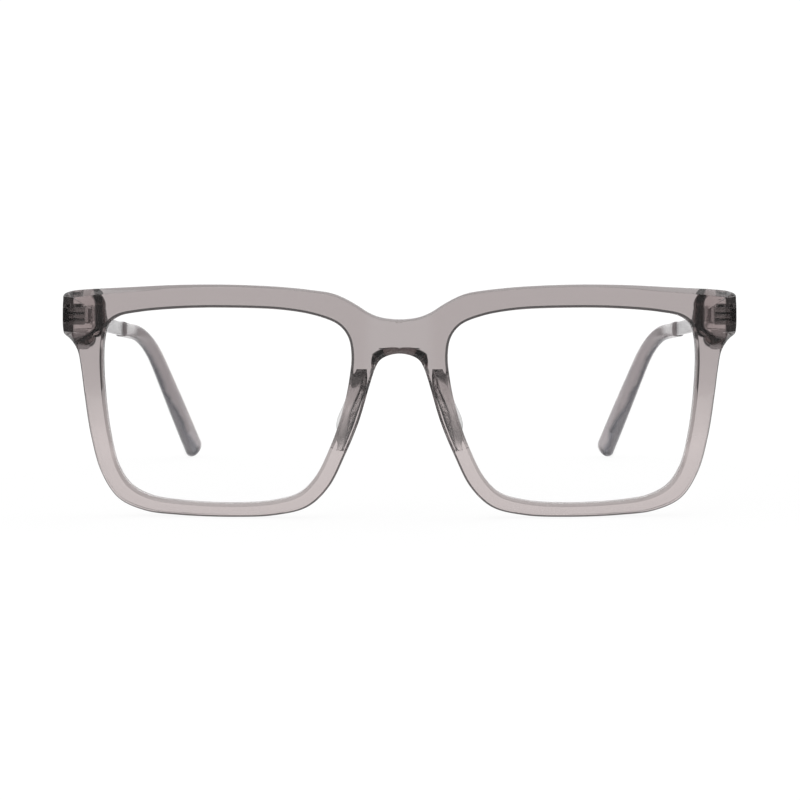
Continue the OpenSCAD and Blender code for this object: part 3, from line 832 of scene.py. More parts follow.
class FrontOutline:
    """Half the front's outline, from the top of the bridge round to the arch under it."""

    step = 0.05

    def __init__(self, sizes: FrontSizes, opening: LensOpening) -> None:
        """Lays out the anchors from the driving sizes.

        Args:
            sizes: The front's driving sizes.
            opening: The lens opening inside the outline.
        """
        self.sizes = sizes
        self.opening = opening
        self.end_x = sizes.front_w / 2
        self.brow_z = opening.top + sizes.rim_top
        self.bridge_top = self.brow_z - sizes.bridge_drop
        self.bridge_low = self.bridge_top - sizes.bridge_h
        self.end_top = self.brow_z - sizes.brow_fall - 0.3 * sizes.end_r
        self.end_low = self.end_top - sizes.end_h
        self.end_z = (self.end_top + self.end_low) / 2
        self.shoulder_x = opening.outer + 0.8 * opening.groove
        self.block_in = self.end_x - sizes.block_w
        self.rows = [Row((0.0, self.bridge_top), 28.6, sizes.bevel)]
        self.rows += self.ramp() + self.brow() + self.end() + self.rim() + self.arch()
        inner = np.array([row.point for row in self.rows])
        # One mirrored anchor before the first and after the last keeps both ends level.
        mirrored = inner[[1, -2]] * np.array([-1.0, 1.0])
        self.anchors = np.vstack([mirrored[:1], inner, mirrored[1:]])
        self.last = len(self.rows) - 1

    def ramp(self) -> list[Row]:
        """The slope from the bridge up to the brow.

        Returns:
            Its anchors, from the bridge outwards.
        """
        s, inner = self.sizes, self.opening.inner
        low, high = self.bridge_top + 0.06 * s.bridge_drop, self.brow_z - 0.25 * s.bridge_drop
        steps = ((0, 0, 28.3), (0.25, 0.2, 28), (0.5, 0.52, 27.6), (0.75, 0.8, 27.3), (1, 1, 27))
        return [
            Row((mix(0.4 * inner, 1.42 * inner, out), mix(low, high, up)), position, s.bevel)
            for out, up, position in steps
        ]

    def brow(self) -> list[Row]:
        """The straight brow, whose bevel widens towards the end piece.

        Returns:
            Its anchors, from the nose side outwards.
        """
        s, middle, reach = self.sizes, self.opening.middle_x, self.opening.half_w
        steps = (
            (-0.7, 1.1, 26.6, 0), (-0.415, 0.4, 26, 0), (0, 0, 25, 0), (0.4, 0.1, 24, 0.2),
            (0.77, 0.57, 23.2, 0.6), (1 + 0.8 * self.opening.groove / reach, 0.9, 22.5, 0.9),
        )  # fmt: skip
        rows = []
        for across, down, position, wide in steps:
            point = (middle + across * reach, self.brow_z - down * s.brow_fall)
            rows.append(Row(point, position, mix(s.bevel, s.brow_bevel, wide)))
        over_block = (mix(self.shoulder_x, self.end_x - s.end_r, 0.3), self.brow_z - s.brow_fall)
        rows.append(Row(over_block, 22.2, s.brow_bevel, back=mix(s.back_edge, s.block_edge, 0.5)))
        return rows

    def end(self) -> list[Row]:
        """The end piece with its bevelled facet, and the throat below it.

        Returns:
            Their anchors, from the top down.
        """
        s, r, top, low = self.sizes, self.sizes.end_r, self.end_top, self.end_low
        steps = (
            (1, top, 21.6, 0.6, 1), (0.14, top - 0.42 * r, 21.3, 1, 0.6),
            (0.04, top - 1.15 * r, 21.1, 1, 0.2), (0, self.end_z, 20.75, 1, 0),
            (0.04, low + 1.2 * r, 20.4, 1, 0), (0.2, low + 0.48 * r, 20.1, 1, 0),
        )  # fmt: skip
        rows = []
        for inset, height, position, facet, edge in steps:
            point = (self.end_x - inset * r, height)
            back = mix(s.back_edge, s.block_edge, edge)
            rows.append(Row(point, position, s.brow_bevel, facet, back))
        corner, throat = (self.end_x - 0.9 * r, low), self.opening.rim(19, s.rim_side)
        steps = ((0, 0, 19.9, 0.6), (0.4, 0.26, 19.7, 0.1), (0.75, 0.72, 19.3, 0))
        for across, down, position, facet in steps:
            point = (mix(corner[0], throat[0], across), mix(corner[1], throat[1], down))
            rows.append(Row(point, position, s.bevel, facet))
        return rows

    def rim(self) -> list[Row]:
        """The rim from the temple side down and round to the nose.

        Returns:
            Its anchors, in that order.
        """
        s = self.sizes
        side, corner, low, nose = s.rim_side, s.rim_corner, s.rim_bottom, s.rim_nose
        widths = (
            (18.6, side), (18, mix(side, corner, 0.35)), (17, mix(side, corner, 0.7)),
            (16, corner), (15, corner), (14, mix(corner, low, 0.5)), (13, mix(corner, low, 0.85)),
            (12, low), (11, mix(low, nose, 0.3)), (10, mix(low, nose, 0.8)), (9, nose), (8, nose),
            (7, mix(nose, s.rim_arch, 0.4)), (6, s.rim_arch),
        )  # fmt: skip
        return [Row(self.opening.rim(place, width), place, s.bevel) for place, width in widths]

    def arch(self) -> list[Row]:
        """The arch under the bridge, with its saddle at the back.

        Returns:
            Its anchors, from the rim to the middle plane.
        """
        steps = ((1, 0.65, 5.6, 0.4), (0.81, 0.29, 5.2, 1), (0.52, 0.1, 5, 0.85), (0, 0, 4.8, 0.53))
        s, low, wide = self.sizes, self.bridge_low, self.sizes.arch_w
        return [
            Row((wide * out, low - wide * down), position, s.bevel, back=s.saddle_w * share)
            for out, down, position, share in steps
        ]

    def point(self, place: Points) -> Points:
        """Points of the outline at places counted in anchors.

        Args:
            place: The places.

        Returns:
            One point for each place.
        """
        index = np.minimum(np.floor(place).astype(int), self.last - 1)
        four = [self.anchors[index + shift] for shift in (0, 1, 2, 3)]
        return between(*four, column(place - index))

    def normal(self, place: Points) -> Points:
        """Normals that point from the outline into the rim.

        Args:
            place: Places counted in anchors.

        Returns:
            One normal for each place, level on the middle plane.
        """
        inside = np.clip(place, self.step, self.last - self.step)
        found = outward(self.point(inside + self.step) - self.point(inside - self.step))
        found[place <= 0] = (0.0, -1.0)
        found[place >= self.last] = (0.0, 1.0)
        return found

    def value(self, place: Points, name: str) -> Points:
        """A value of the anchors, carried evenly between them."""
        values = [getattr(row, name) for row in self.rows]
        return np.interp(place, np.arange(len(values)), values)


@dataclass
class Ribs:
    """Where the ribs of the left half run, one row for each.

    Attributes:
        p: Points on the outline.
        q: Points on the lens opening.
        normal: Directions from the outline into the rim.
        out: Directions from the opening into the rim.
        edge: Widths of the outer bevel.
        facet: Shares of the end piece's facet.
        back: Widths of the broken edge on the back.
        around: Number of ribs round the outline, before those on the middle plane.
    """

    p: Points
    q: Points
    normal: Points
    out: Points
    edge: Points
    facet: Points
    back: Points
    around: int


@dataclass
class AcetateFront:
    """The front: brow, bridge, two rims with lens grooves, end pieces and their hinge blocks.

    Attributes:
        hinge_z: Height of the hinges' middle, where the blocks' depth is measured.
        lens_set: Depth of the lenses' front behind the face.
        middle_at: Where the lens opening faces the bridge's middle, low and high, counted in
            the opening's anchors.
        block_start: How far below the end pieces the blocks start, as a share of their height.
        steepest: Limit of the turn of the blocks' rounded corners.
    """

    finishes: Finishes
    hinge_z: float
    sizes: FrontSizes = field(default_factory=FrontSizes)
    opening: LensOpening = field(default_factory=LensOpening)
    lens_t: float = 2.0
    lens_set: float = 1.0
    outline_steps: int = 9
    middle_steps: int = 9
    face_steps: int = 4
    back_steps: int = 26
    middle_at: Span = (4.8, 3.6)
    block_start: float = 0.3
    steepest: float = 0.95

    def __post_init__(self) -> None:
        """Works out what follows from the sizes."""
        self.outline = FrontOutline(self.sizes, self.opening)
        self.face = FrontFace(self.opening.middle_z)
        self.groove_y = self.lens_set + self.lens_t / 2
        self.groove_hw = 0.35 * self.lens_t
        self.block_y = self.face.depth(self.outline.end_x, self.hinge_z) + self.sizes.end_t
        self.block_low = self.outline.end_low - self.block_start * self.sizes.end_h
        self.relief_low = self.outline.bridge_low - self.sizes.bridge_h

    def back(self, flat: Points, less: Values = 0.0) -> Points:
        """Points on the back, with its hinge blocks and the relief behind the bridge.

        Args:
            flat: Their places across and up.
            less: How far in front of the back they lie.

        Returns:
            The points.
        """
        s, (x, z) = self.sizes, flat.T
        past = np.abs(z - self.outline.end_z) - s.end_h / 2 + s.block_r
        turned = np.clip(past / s.block_r, 0, self.steepest)
        side = self.outline.block_in + s.block_r * (1 - np.sqrt(1 - turned**2))
        block = smooth((x - side) / s.block_wall)
        block = block * smooth((z - self.block_low) / (1.8 * s.block_wall))
        relief = smooth((s.relief_w - x) / s.relief_wall)
        relief = relief * smooth(2 * (z - self.relief_low) / s.bridge_h)
        plain = self.face.depth(x, z) + s.thick - s.relief_d * relief
        return np.stack([x, mix(plain, self.block_y, block) - less, z], axis=1)

    def rounded(self, corner: Points, before: Points, after: Points) -> list[Points]:
        """A small polished round in place of a corner.

        Args:
            corner: Corner points, one for each rib.
            before: Directions from the corner back along the section.
            after: Directions from the corner on along the section.

        Returns:
            Three rows of points: where the round starts, its middle and its end.
        """
        r = self.sizes.polish_r
        start, stop = corner + unit(before) * r, corner + unit(after) * r
        return [start, 0.25 * start + 0.5 * corner + 0.25 * stop, stop]

    def ribs(self) -> Ribs:
        """Ribs of the left half, round the outline and then up the middle of the bridge.

        Returns:
            Their points, directions and widths.
        """
        s, line = self.sizes, self.outline
        place = np.linspace(0, line.last, line.last * self.outline_steps + 1)
        share = np.arange(1, self.middle_steps + 1) / (self.middle_steps + 1)
        low, high = line.bridge_low + s.bevel, line.bridge_top - s.bevel
        middle = np.stack([np.zeros_like(share), mix(low, high, share)], axis=1)
        p = np.vstack([line.point(place), middle])
        normal = np.vstack([line.normal(place), np.zeros_like(middle)])
        at_middle = mix(*self.middle_at, share)
        on_middle = {"position": at_middle, "bevel": 0.0, "facet": 0.0, "back": s.back_edge}
        position, edge, facet, back = (
            np.concatenate([line.value(place, name), value + np.zeros_like(share)])
            for name, value in on_middle.items()
        )
        q, out = self.opening.point(position), self.opening.normal(position)
        return Ribs(p, q, normal, out, edge, facet, back, len(place))

    def section(self, ribs: Ribs) -> tuple[list[Points], list[bool]]:
        """One closed section for each rib, from the lens opening to the outline and back.

        Args:
            ribs: The ribs.

        Returns:
            The section's points, each a row for all ribs, and whether each lies on the middle
            plane where a rib ends there.
        """
        s, face, line, p, q, out = self.sizes, self.face, self.outline, ribs.p, ribs.q, ribs.out
        crease_z = np.clip(p[:, 1], line.end_low + 0.7 * s.end_r, line.end_top - 0.7 * s.end_r)
        crease = np.stack([np.full(len(p), line.end_x - s.facet_w), crease_z], axis=1)
        bend = mix(p + ribs.normal * column(ribs.edge), crease, column(ribs.facet))
        back_p, inner = p + ribs.normal * column(ribs.back), q + out * s.back_edge
        open_front = q + out * s.open_bevel
        corners = {
            "open_front": face.at(open_front, 0.0),
            "bend": face.at(bend, 0.0),
            "rim": face.at(p, mix(ribs.edge, s.facet_d, ribs.facet)),
            "side": self.back(p, mix(s.back_edge, ribs.back, 1.5)),
            "back": self.back(back_p),
            "inner": self.back(inner),
            "open_back": self.back(q, s.back_edge),
            "groove_back": face.at(q, self.groove_y + self.groove_hw),
            "groove": face.at(q + out * self.opening.groove, self.groove_y),
            "groove_front": face.at(q, self.groove_y - self.groove_hw),
            "open": face.at(q, s.open_bevel),
        }
        names = list(corners)
        inward, away = (np.insert(flat, 1, 0.0, axis=1) for flat in (ribs.normal, out))
        given = {
            ("open_front", "bend"): away, ("bend", "open_front"): inward,
            ("back", "inner"): inward, ("inner", "back"): away,
        }  # fmt: skip
        shares = [np.arange(1, count) / count for count in (self.face_steps, self.back_steps)]
        filled = {
            "open_front": [face.at(mix(open_front, bend, step), 0.0) for step in shares[0]],
            "back": [self.back(mix(back_p, inner, step)) for step in shares[1]],
        }
        rows: list[Points] = []
        shared: list[bool] = []
        for number, name in enumerate(names):
            near = (names[number - 1], names[(number + 1) % len(names)])
            toward = [given.get((name, other), corners[other] - corners[name]) for other in near]
            fill = filled.get(name, [])
            rows += self.rounded(corners[name], *toward) + fill
            shared += [name in ("bend", "rim", "side", "back")] * 3 + [False] * len(fill)
        return rows, shared

    def half(self) -> MeshParts:
        """Skin of the left half, open on the middle plane.

        Returns:
            Its points and faces.
        """
        ribs = self.ribs()
        rows, shared = self.section(ribs)
        count, length = len(ribs.p), len(rows)
        points = np.stack(rows, axis=1).reshape(-1, 3)
        faces: Faces = []
        for i in range(count):
            low, high = i * length, (i + 1) % count * length
            for k in range(length):
                after = (k + 1) % length
                if i < ribs.around - 1 or not (shared[k] and shared[after]):
                    faces.append((low + k, high + k, high + after, low + after))
        return MeshParts(points, faces)

    def build(self) -> None:
        """Makes the front as one piece of acetate."""
        half = self.half()
        whole = half.on(Side.LEFT).joined(half.on(Side.RIGHT))
        obj = make_object("acetate_front", whole, self.finishes.front)
        merge_points(obj, 0.002 * MM)
        even_shading(obj)
        settle(obj, Body.FRONT.value, ["front_frame"])


@dataclass
class Lenses:
    """The two clear lenses, each with a ridge round its edge that sits in the groove."""

    front: AcetateFront
    slack: float = 0.04
    steps: int = 14
    edge_break: float = 0.02
    ridge_hw: float = 0.04
    shares: tuple[float, ...] = (0.15, 0.35, 0.55, 0.75, 0.9, 0.97, 0.992)

    def ring(self, share: float, grow: float, depth: float) -> Points:
        """A ring round the lens.

        Args:
            share: Distance from the middle, 1 at the opening.
            grow: Distance beyond the opening.
            depth: Depth behind the front's face.

        Returns:
            The ring's points.
        """
        opening = self.front.opening
        position = -np.arange(len(opening.shape) * self.steps) / self.steps
        edge = opening.point(position) + opening.normal(position) * grow
        return self.front.face.at(mix(opening.middle, edge, share), depth)

    def parts(self) -> MeshParts:
        """The left lens, whose back half mirrors its front half.

        Returns:
            Its points and faces.
        """
        front, half, edge = self.front, self.front.lens_t / 2, self.edge_break
        steps = [(share, 0.0, half) for share in self.shares]
        steps += [(1.0, -self.slack - edge, half), (1.0, -self.slack, half - edge)]
        steps += [(1.0, -self.slack, front.groove_hw)]
        steps += [(1.0, front.opening.groove - 2 * self.slack, self.ridge_hw)]
        rings = [self.ring(share, grow, front.groove_y - off) for share, grow, off in steps]
        rings += [self.ring(share, grow, front.groove_y + off) for share, grow, off in steps[::-1]]
        middle = front.opening.middle[None]
        caps = [front.face.at(middle, front.groove_y + off)[0] for off in (-half, half)]
        return loft(rings, caps)

    def build(self) -> None:
        """Makes both lenses."""
        build_pair(self.parts(), "lens", "clear", Body.FRONT, self.front.finishes.lens)


@dataclass
class NosePads:
    """The two acetate pads bonded behind the nose side of the rims.

    Attributes:
        splay: Lean of their backs away from the nose, in degrees.
        spread: How much of the splay there is at the top and at the bottom.
        draw_in: Share of the width by which the outer edge comes in at the bottom.
        roundness: Power of the dome's outline, lower being squarer.
        bulge: Share by which the dome widens towards its back.
    """

    front: AcetateFront
    top: float = 31.0
    length: float = 17.0
    depth: float = 4.8
    top_w: float = 2.4
    inset: float = 0.75
    splay: float = 24.0
    spread: Span = (0.45, 1.45)
    draw_in: float = 0.4
    roundness: float = 0.65
    bulge: float = 0.12
    cement: float = 0.05
    sections: int = 48
    count: int = 36

    def rim_x(self, height: float) -> float:
        """Nose edge of the opening at a height."""
        points = self.front.opening.point(np.linspace(5, 9.5, 400))
        return points[int(np.argmin(np.abs(points[:, 1] - height)))][0]

    def section(self, share: float) -> Points:
        """One section across a pad, from its top at 0 to its bottom at 1.

        Args:
            share: How far down the pad it lies.

        Returns:
            The section's points.
        """
        sizes = self.front.sizes
        height = self.top - self.length * share
        low, edge = smooth((share - 0.6) / 0.4), self.rim_x(height)
        # The inner edge follows the rim below the arch, and the outer one comes in further down.
        width = mix(sizes.rim_arch, sizes.rim_nose, smooth(share * 1.6))
        outer = edge - sizes.back_edge - self.inset
        rim = edge - width + 0.7 * sizes.back_edge
        inner = mix(outer - self.top_w, rim, smooth(share * 2.5))
        outer = mix(outer, inner, self.draw_in * smooth((share - 0.55) / 0.45))
        # Both ends narrow, and the pad rises fast at the top and flattens out at the bottom.
        narrow = 0.3 * low + 0.15 * smooth(1 - share / 0.1)
        depth = self.depth * smooth(share / 0.16 + 0.12) * (1 - 0.75 * low)
        lean = depth * math.tan(math.radians(self.splay)) * mix(*self.spread, smooth(share))
        angle = np.linspace(0, math.pi, self.count)
        way, dome = np.cos(angle), np.abs(np.sin(angle)) ** self.roundness
        spread = -np.sign(way) * np.abs(way) ** self.roundness
        across = spread * (outer - inner) / 2 * (1 - narrow)
        x = (inner + outer) / 2 + across * (1 + self.bulge * dome) + lean * dome
        flat = np.stack([x, np.full(self.count, height)], axis=1)
        return self.front.face.at(flat, sizes.thick + self.cement + depth * dome)

    def build(self) -> None:
        """Makes both pads."""
        rings = [self.section(i / self.sections) for i in range(self.sections + 1)]
        finish = self.front.finishes.pad
        build_pair(loft(rings), "nose_pad", "acetate", Body.FRONT, finish)


@dataclass
class Course:
    """The course of the left arm and tip: straight, then inwards and down behind the ear.

    Distances along it are counted from the hinge.

    Attributes:
        hinge: The hinge axis, where the arm's own frame has its origin.
        lean: Downward lean of the straight stretch, in degrees.
        toe_in: Its lean towards the middle, in degrees.
        over_open: How far the arm opens beyond its resting place, in degrees.
        offset: Distance of the arm's middle from the hinge axis, outwards.
        tip_in: Turn inwards behind the ear, in degrees.
        tip_in_l: Length of that turn, as a share of the bend's length.
    """

    hinge: Points
    lean: float
    toe_in: float = 1.6
    over_open: float = 8.0
    offset: float = 2.36
    arm_l: float = 145.0
    metal_l: float = 76.0
    bend_s: float = 92.0
    bend_l: float = 24.0
    bend_angle: float = 48.0
    tip_in: float = 21.0
    tip_in_l: float = 1.17
    fine: float = 0.25

    def __post_init__(self) -> None:
        """Follows the course once, in fine steps."""
        self.curve_s = self.bend_s - self.bend_l / 3
        self.known_s = np.arange(self.curve_s, self.arm_l + 2 * self.fine, self.fine)
        moves = self.heading(self.known_s[:-1] + self.fine / 2) * self.fine
        start = np.array([[self.offset, self.curve_s, 0.0]])
        self.known = np.vstack([start, start + np.cumsum(moves, axis=0)])

    def angles(self, s: Values) -> tuple[Values, Values]:
        """Inward and downward angles at distances along the course, in radians.

        Args:
            s: The distances from the hinge.

        Returns:
            The inward angles and the downward angles.
        """
        down = self.bend_angle * smooth((s - self.bend_s) / self.bend_l)
        inward = self.tip_in * smooth((s - self.curve_s) / (self.tip_in_l * self.bend_l))
        return np.radians(inward), np.radians(down)

    def heading(self, s: Values) -> Points:
        """Directions along the course.

        Args:
            s: Distances from the hinge.

        Returns:
            One direction for each distance.
        """
        inward, down = self.angles(s)
        level = np.cos(down)
        return np.stack([-np.sin(inward) * level, np.cos(inward) * level, -np.sin(down)], axis=-1)

    def point(self, s: float) -> Points:
        """The course's middle at a distance from the hinge.

        Args:
            s: The distance.

        Returns:
            The point, in the arm's own frame.
        """
        if s <= self.curve_s:
            return np.array([self.offset, s, 0.0])
        return np.array([np.interp(s, self.known_s, self.known[:, k]) for k in range(3)])

    def section(self, s: float, half: Span, power: float, count: int, turn: float = 0.0) -> Points:
        """A rounded section across the course.

        Args:
            s: Distance from the hinge.
            half: Half its thickness and half its height.
            power: How square its corners are, 2 being an ellipse.
            count: Number of points.
            turn: Turn about the course, in degrees.

        Returns:
            The section's points, in the arm's own frame.
        """
        inward = self.angles(s)[0]
        side = np.array([math.cos(inward), math.sin(inward), 0.0])
        up = np.cross(side, self.heading(s))
        cos, sin = math.cos(math.radians(turn)), math.sin(math.radians(turn))
        sweep = -2 * math.pi * (np.arange(count) + 0.5) / count
        wide, high = (
            column(size * np.sign(wave) * np.abs(wave) ** (2 / power))
            for size, wave in zip(half, (np.cos(sweep), np.sin(sweep)))
        )
        return self.point(s) + wide * (side * cos + up * sin) + high * (up * cos - side * sin)

    def placed(self, parts: MeshParts) -> MeshParts:
        """A mesh of the arm's own frame as it lies on the glasses."""
        return MeshParts(self.lying(parts.points), parts.faces)

    def lying(self, points: Points) -> Points:
        """Points of the arm's own frame as they lie on the glasses.

        Args:
            points: The points, counted from the hinge.

        Returns:
            The points on the glasses.
        """
        lean, toe = math.radians(self.lean), math.radians(self.toe_in)
        x, y, z = points.T
        back = y * math.cos(lean) + z * math.sin(lean)
        up = z * math.cos(lean) - y * math.sin(lean)
        across = x * math.cos(toe) - back * math.sin(toe)
        along = x * math.sin(toe) + back * math.cos(toe)
        return np.stack([across, along, up], axis=1) + self.hinge


@dataclass
class Arms:
    """The two metal arms, which thin down to cores inside the tips.

    Attributes:
        core_taper: The core's thickness and height at its end, as shares of those at its start.
        core_round: How far the core's last section is drawn in, each way.
        metal_round: Sections that round off the metal's end: how far before it each lies, how
            far it is drawn in each way, and how square it is.
    """

    course: Course
    finishes: Finishes
    thick: float = 1.4
    high: float = 3.2
    core_t: float = 1.2
    core_h: float = 2.2
    tip_solid: float = 8.0
    axis_back: float = 2.0
    face_gap: float = 0.06
    edge_break: float = 0.12
    core_taper: Span = (0.8, 0.75)
    core_round: Span = (0.15, 0.2)
    metal_round: tuple[tuple[float, float, float, float], ...] = (
        (0.5, 0.03, 0.08, 5.0),
        (0.0, 0.1, 0.25, 4.0),
    )
    power: float = 6.0
    core_power: float = 3.0
    metal_steps: int = 30
    core_steps: int = 60
    count: int = 56

    def front_end(self, less: float, shift: float) -> Points:
        """The section on the slanted front end, drawn in, or moved a little behind it.

        Args:
            less: How far it is drawn in.
            shift: How far behind the end's face it lies.

        Returns:
            The section's points.
        """
        turn = math.radians(self.course.over_open - self.course.toe_in)
        lift = self.high / 2 * math.tan(math.radians(self.course.lean))
        reach = (self.axis_back - self.face_gap - lift) / math.cos(turn)
        points = self.ring(0, less, less, self.power)
        points[:, 1] = points[:, 0] * math.tan(turn) - reach + shift
        return points

    def ring(self, s: float, less_t: float, less_h: float, power: float) -> Points:
        """A section of the metal at a distance from the hinge, drawn in from its full size."""
        half = (self.thick / 2 - less_t, self.high / 2 - less_h)
        return self.course.section(s, half, power, self.count)

    def core(self, s: float, share: float, less: Span = (0.0, 0.0)) -> Points:
        """A section of the core, which thins down with its share of the length.

        Args:
            s: Distance from the hinge.
            share: How far along the core it lies.
            less: How far it is drawn in, each way.

        Returns:
            The section's points.
        """
        sizes = zip((self.core_t, self.core_h), self.core_taper, less)
        wide, high = (size / 2 * mix(1, taper, share) - off for size, taper, off in sizes)
        return self.course.section(s, (wide, high), self.core_power, self.count)

    def parts(self) -> MeshParts:
        """The left arm with its core.

        Returns:
            Its points and faces.
        """
        metal_l, end = self.course.metal_l, self.course.arm_l - self.tip_solid
        rings = [self.front_end(self.edge_break, 0.0), self.front_end(0.0, self.edge_break)]
        places = np.linspace(1, metal_l - 1.0, self.metal_steps)
        rings += [self.ring(s, 0.0, 0.0, self.power) for s in places]
        # The metal's end is rounded off before it steps down to the core.
        rings += [self.ring(metal_l - before, *shape) for before, *shape in self.metal_round]
        for share in np.linspace(0, 1, self.core_steps):
            rings.append(self.core(mix(metal_l + 0.05, end - 0.3, share), share))
        rings.append(self.core(end, 1, self.core_round))
        return self.course.placed(loft(rings))

    def build(self) -> None:
        """Makes both arms."""
        build_pair(self.parts(), "arm", "metal", Body.TEMPLE, self.finishes.arm)


@dataclass
class Tips:
    """The two acetate tips, moulded over the cores of the arms.

    Attributes:
        thicken: Where the tip has its full thickness, as a share of its length.
        widen: Where it starts to get higher, and how long that takes, as shares of its length.
        end_turn: First and last angle of the sections on its round end.
    """

    course: Course
    finishes: Finishes
    tip_t: float = 2.8
    tip_h: float = 3.6
    paddle_t: float = 3.1
    paddle_h: float = 5.4
    face_gap: float = 0.06
    thicken: float = 0.88
    widen: Span = (0.12, 0.8)
    turn: float = 14.0
    power: float = 2.2
    start_power: float = 4.5
    square_l: float = 14.0
    edge_break: float = 0.06
    least: float = 0.02
    steps: int = 110
    end_steps: int = 12
    end_turn: Span = (0.15, 1.5)
    count: int = 48

    def __post_init__(self) -> None:
        """Works out where the round of the tips' ends starts, and its size."""
        self.end_r = 0.4 * self.paddle_h
        self.end_s = self.course.arm_l - self.end_r

    def half(self, s: float) -> Span:
        """Half thickness and half height at a distance from the hinge.

        Args:
            s: The distance.

        Returns:
            Half the thickness and half the height.
        """
        past, length = s - self.course.metal_l, self.course.arm_l - self.course.metal_l
        thick = mix(self.tip_t, self.paddle_t, smooth(past / (self.thicken * length)))
        start, over = (share * length for share in self.widen)
        high = mix(self.tip_h, self.paddle_h, smooth((past - start) / over))
        return thick / 2, high / 2

    def ring(self, s: float, less: float = 0.0) -> Points:
        """The tip's section at a distance from the hinge, rounded off at its end.

        Args:
            s: The distance.
            less: How far the section is drawn in.

        Returns:
            The section's points.
        """
        c = self.course
        past = max((s - self.end_s) / self.end_r, 0.0)
        close = math.sqrt(max(1 - past * past, 0.0))
        turned = self.turn * smooth((s - c.bend_s) / (c.arm_l - c.bend_s))
        sizes = tuple(max(half * close - less, self.least) for half in self.half(s))
        square = mix(self.start_power, self.power, smooth((s - c.metal_l) / self.square_l))
        return c.section(s, sizes, square, self.count, turned)

    def parts(self) -> MeshParts:
        """The left tip.

        Returns:
            Its points and faces.
        """
        start, edge = self.course.metal_l + self.face_gap / 2, self.edge_break
        breaks = ((0, 3), (0, 1), (0.3, 0.3), (1, 0))
        rings = [self.ring(start + edge * back, edge * less) for back, less in breaks]
        rings += [self.ring(s) for s in np.linspace(start + 0.5, self.end_s, self.steps)]
        turns = np.linspace(*self.end_turn, self.end_steps)
        rings += [self.ring(self.end_s + self.end_r * math.sin(angle)) for angle in turns]
        return self.course.placed(loft(rings))

    def build(self) -> None:
        """Makes both tips."""
        build_pair(self.parts(), "tip", "acetate", Body.TEMPLE, self.finishes.tip)


@dataclass
class HingeParts:
    """The small metal parts, as machined: the solids' shapes with broken edges."""

    finishes: Finishes
    edge_break: float = 0.05
    corner: float = 30.0

    def machined(self, node: str, material: Material) -> Object:
        """A copy of a CAD node with its edges broken.

        Args:
            node: Name of the CAD node.
            material: Its finish.

        Returns:
            The copy, ready to be seated.
        """
        mesh = frame["nodes"][node].data.copy()
        mesh.name = f"{node}_machined"
        obj = add_object(mesh.name, mesh)
        merge_points(obj, 0.001 * MM)
        dress(mesh, material)
        edges = obj.modifiers.new("broken_edges", "BEVEL")
        edges.width = self.edge_break * MM
        edges.segments = 2
        edges.limit_method = "ANGLE"
        edges.angle_limit = math.radians(self.corner)
        even_shading(obj)
        return obj

    def build(self) -> None:
        """Makes the hinge parts of both sides."""
        hinge, wire, arm = self.finishes.hinge, self.finishes.wire, self.finishes.arm
        kinds = (
            ("front_hinge", Body.FRONT, "hinge_metal", hinge),
            ("hinge_screw", Body.FRONT, "hinge_metal", hinge),
            ("slider", Body.KNUCKLE, "hinge_metal", hinge),
            ("shaft_nut", Body.KNUCKLE, "spring_metal", wire),
            ("spring_stop", Body.TEMPLE, "spring_metal", wire),
            ("housing", Body.TEMPLE, "arm_metal", arm),
        )
        for side in Side:
            for part, body, slot, material in kinds:
                node = side.node(part)
                settle(self.machined(node, material), body.of(side), [node])


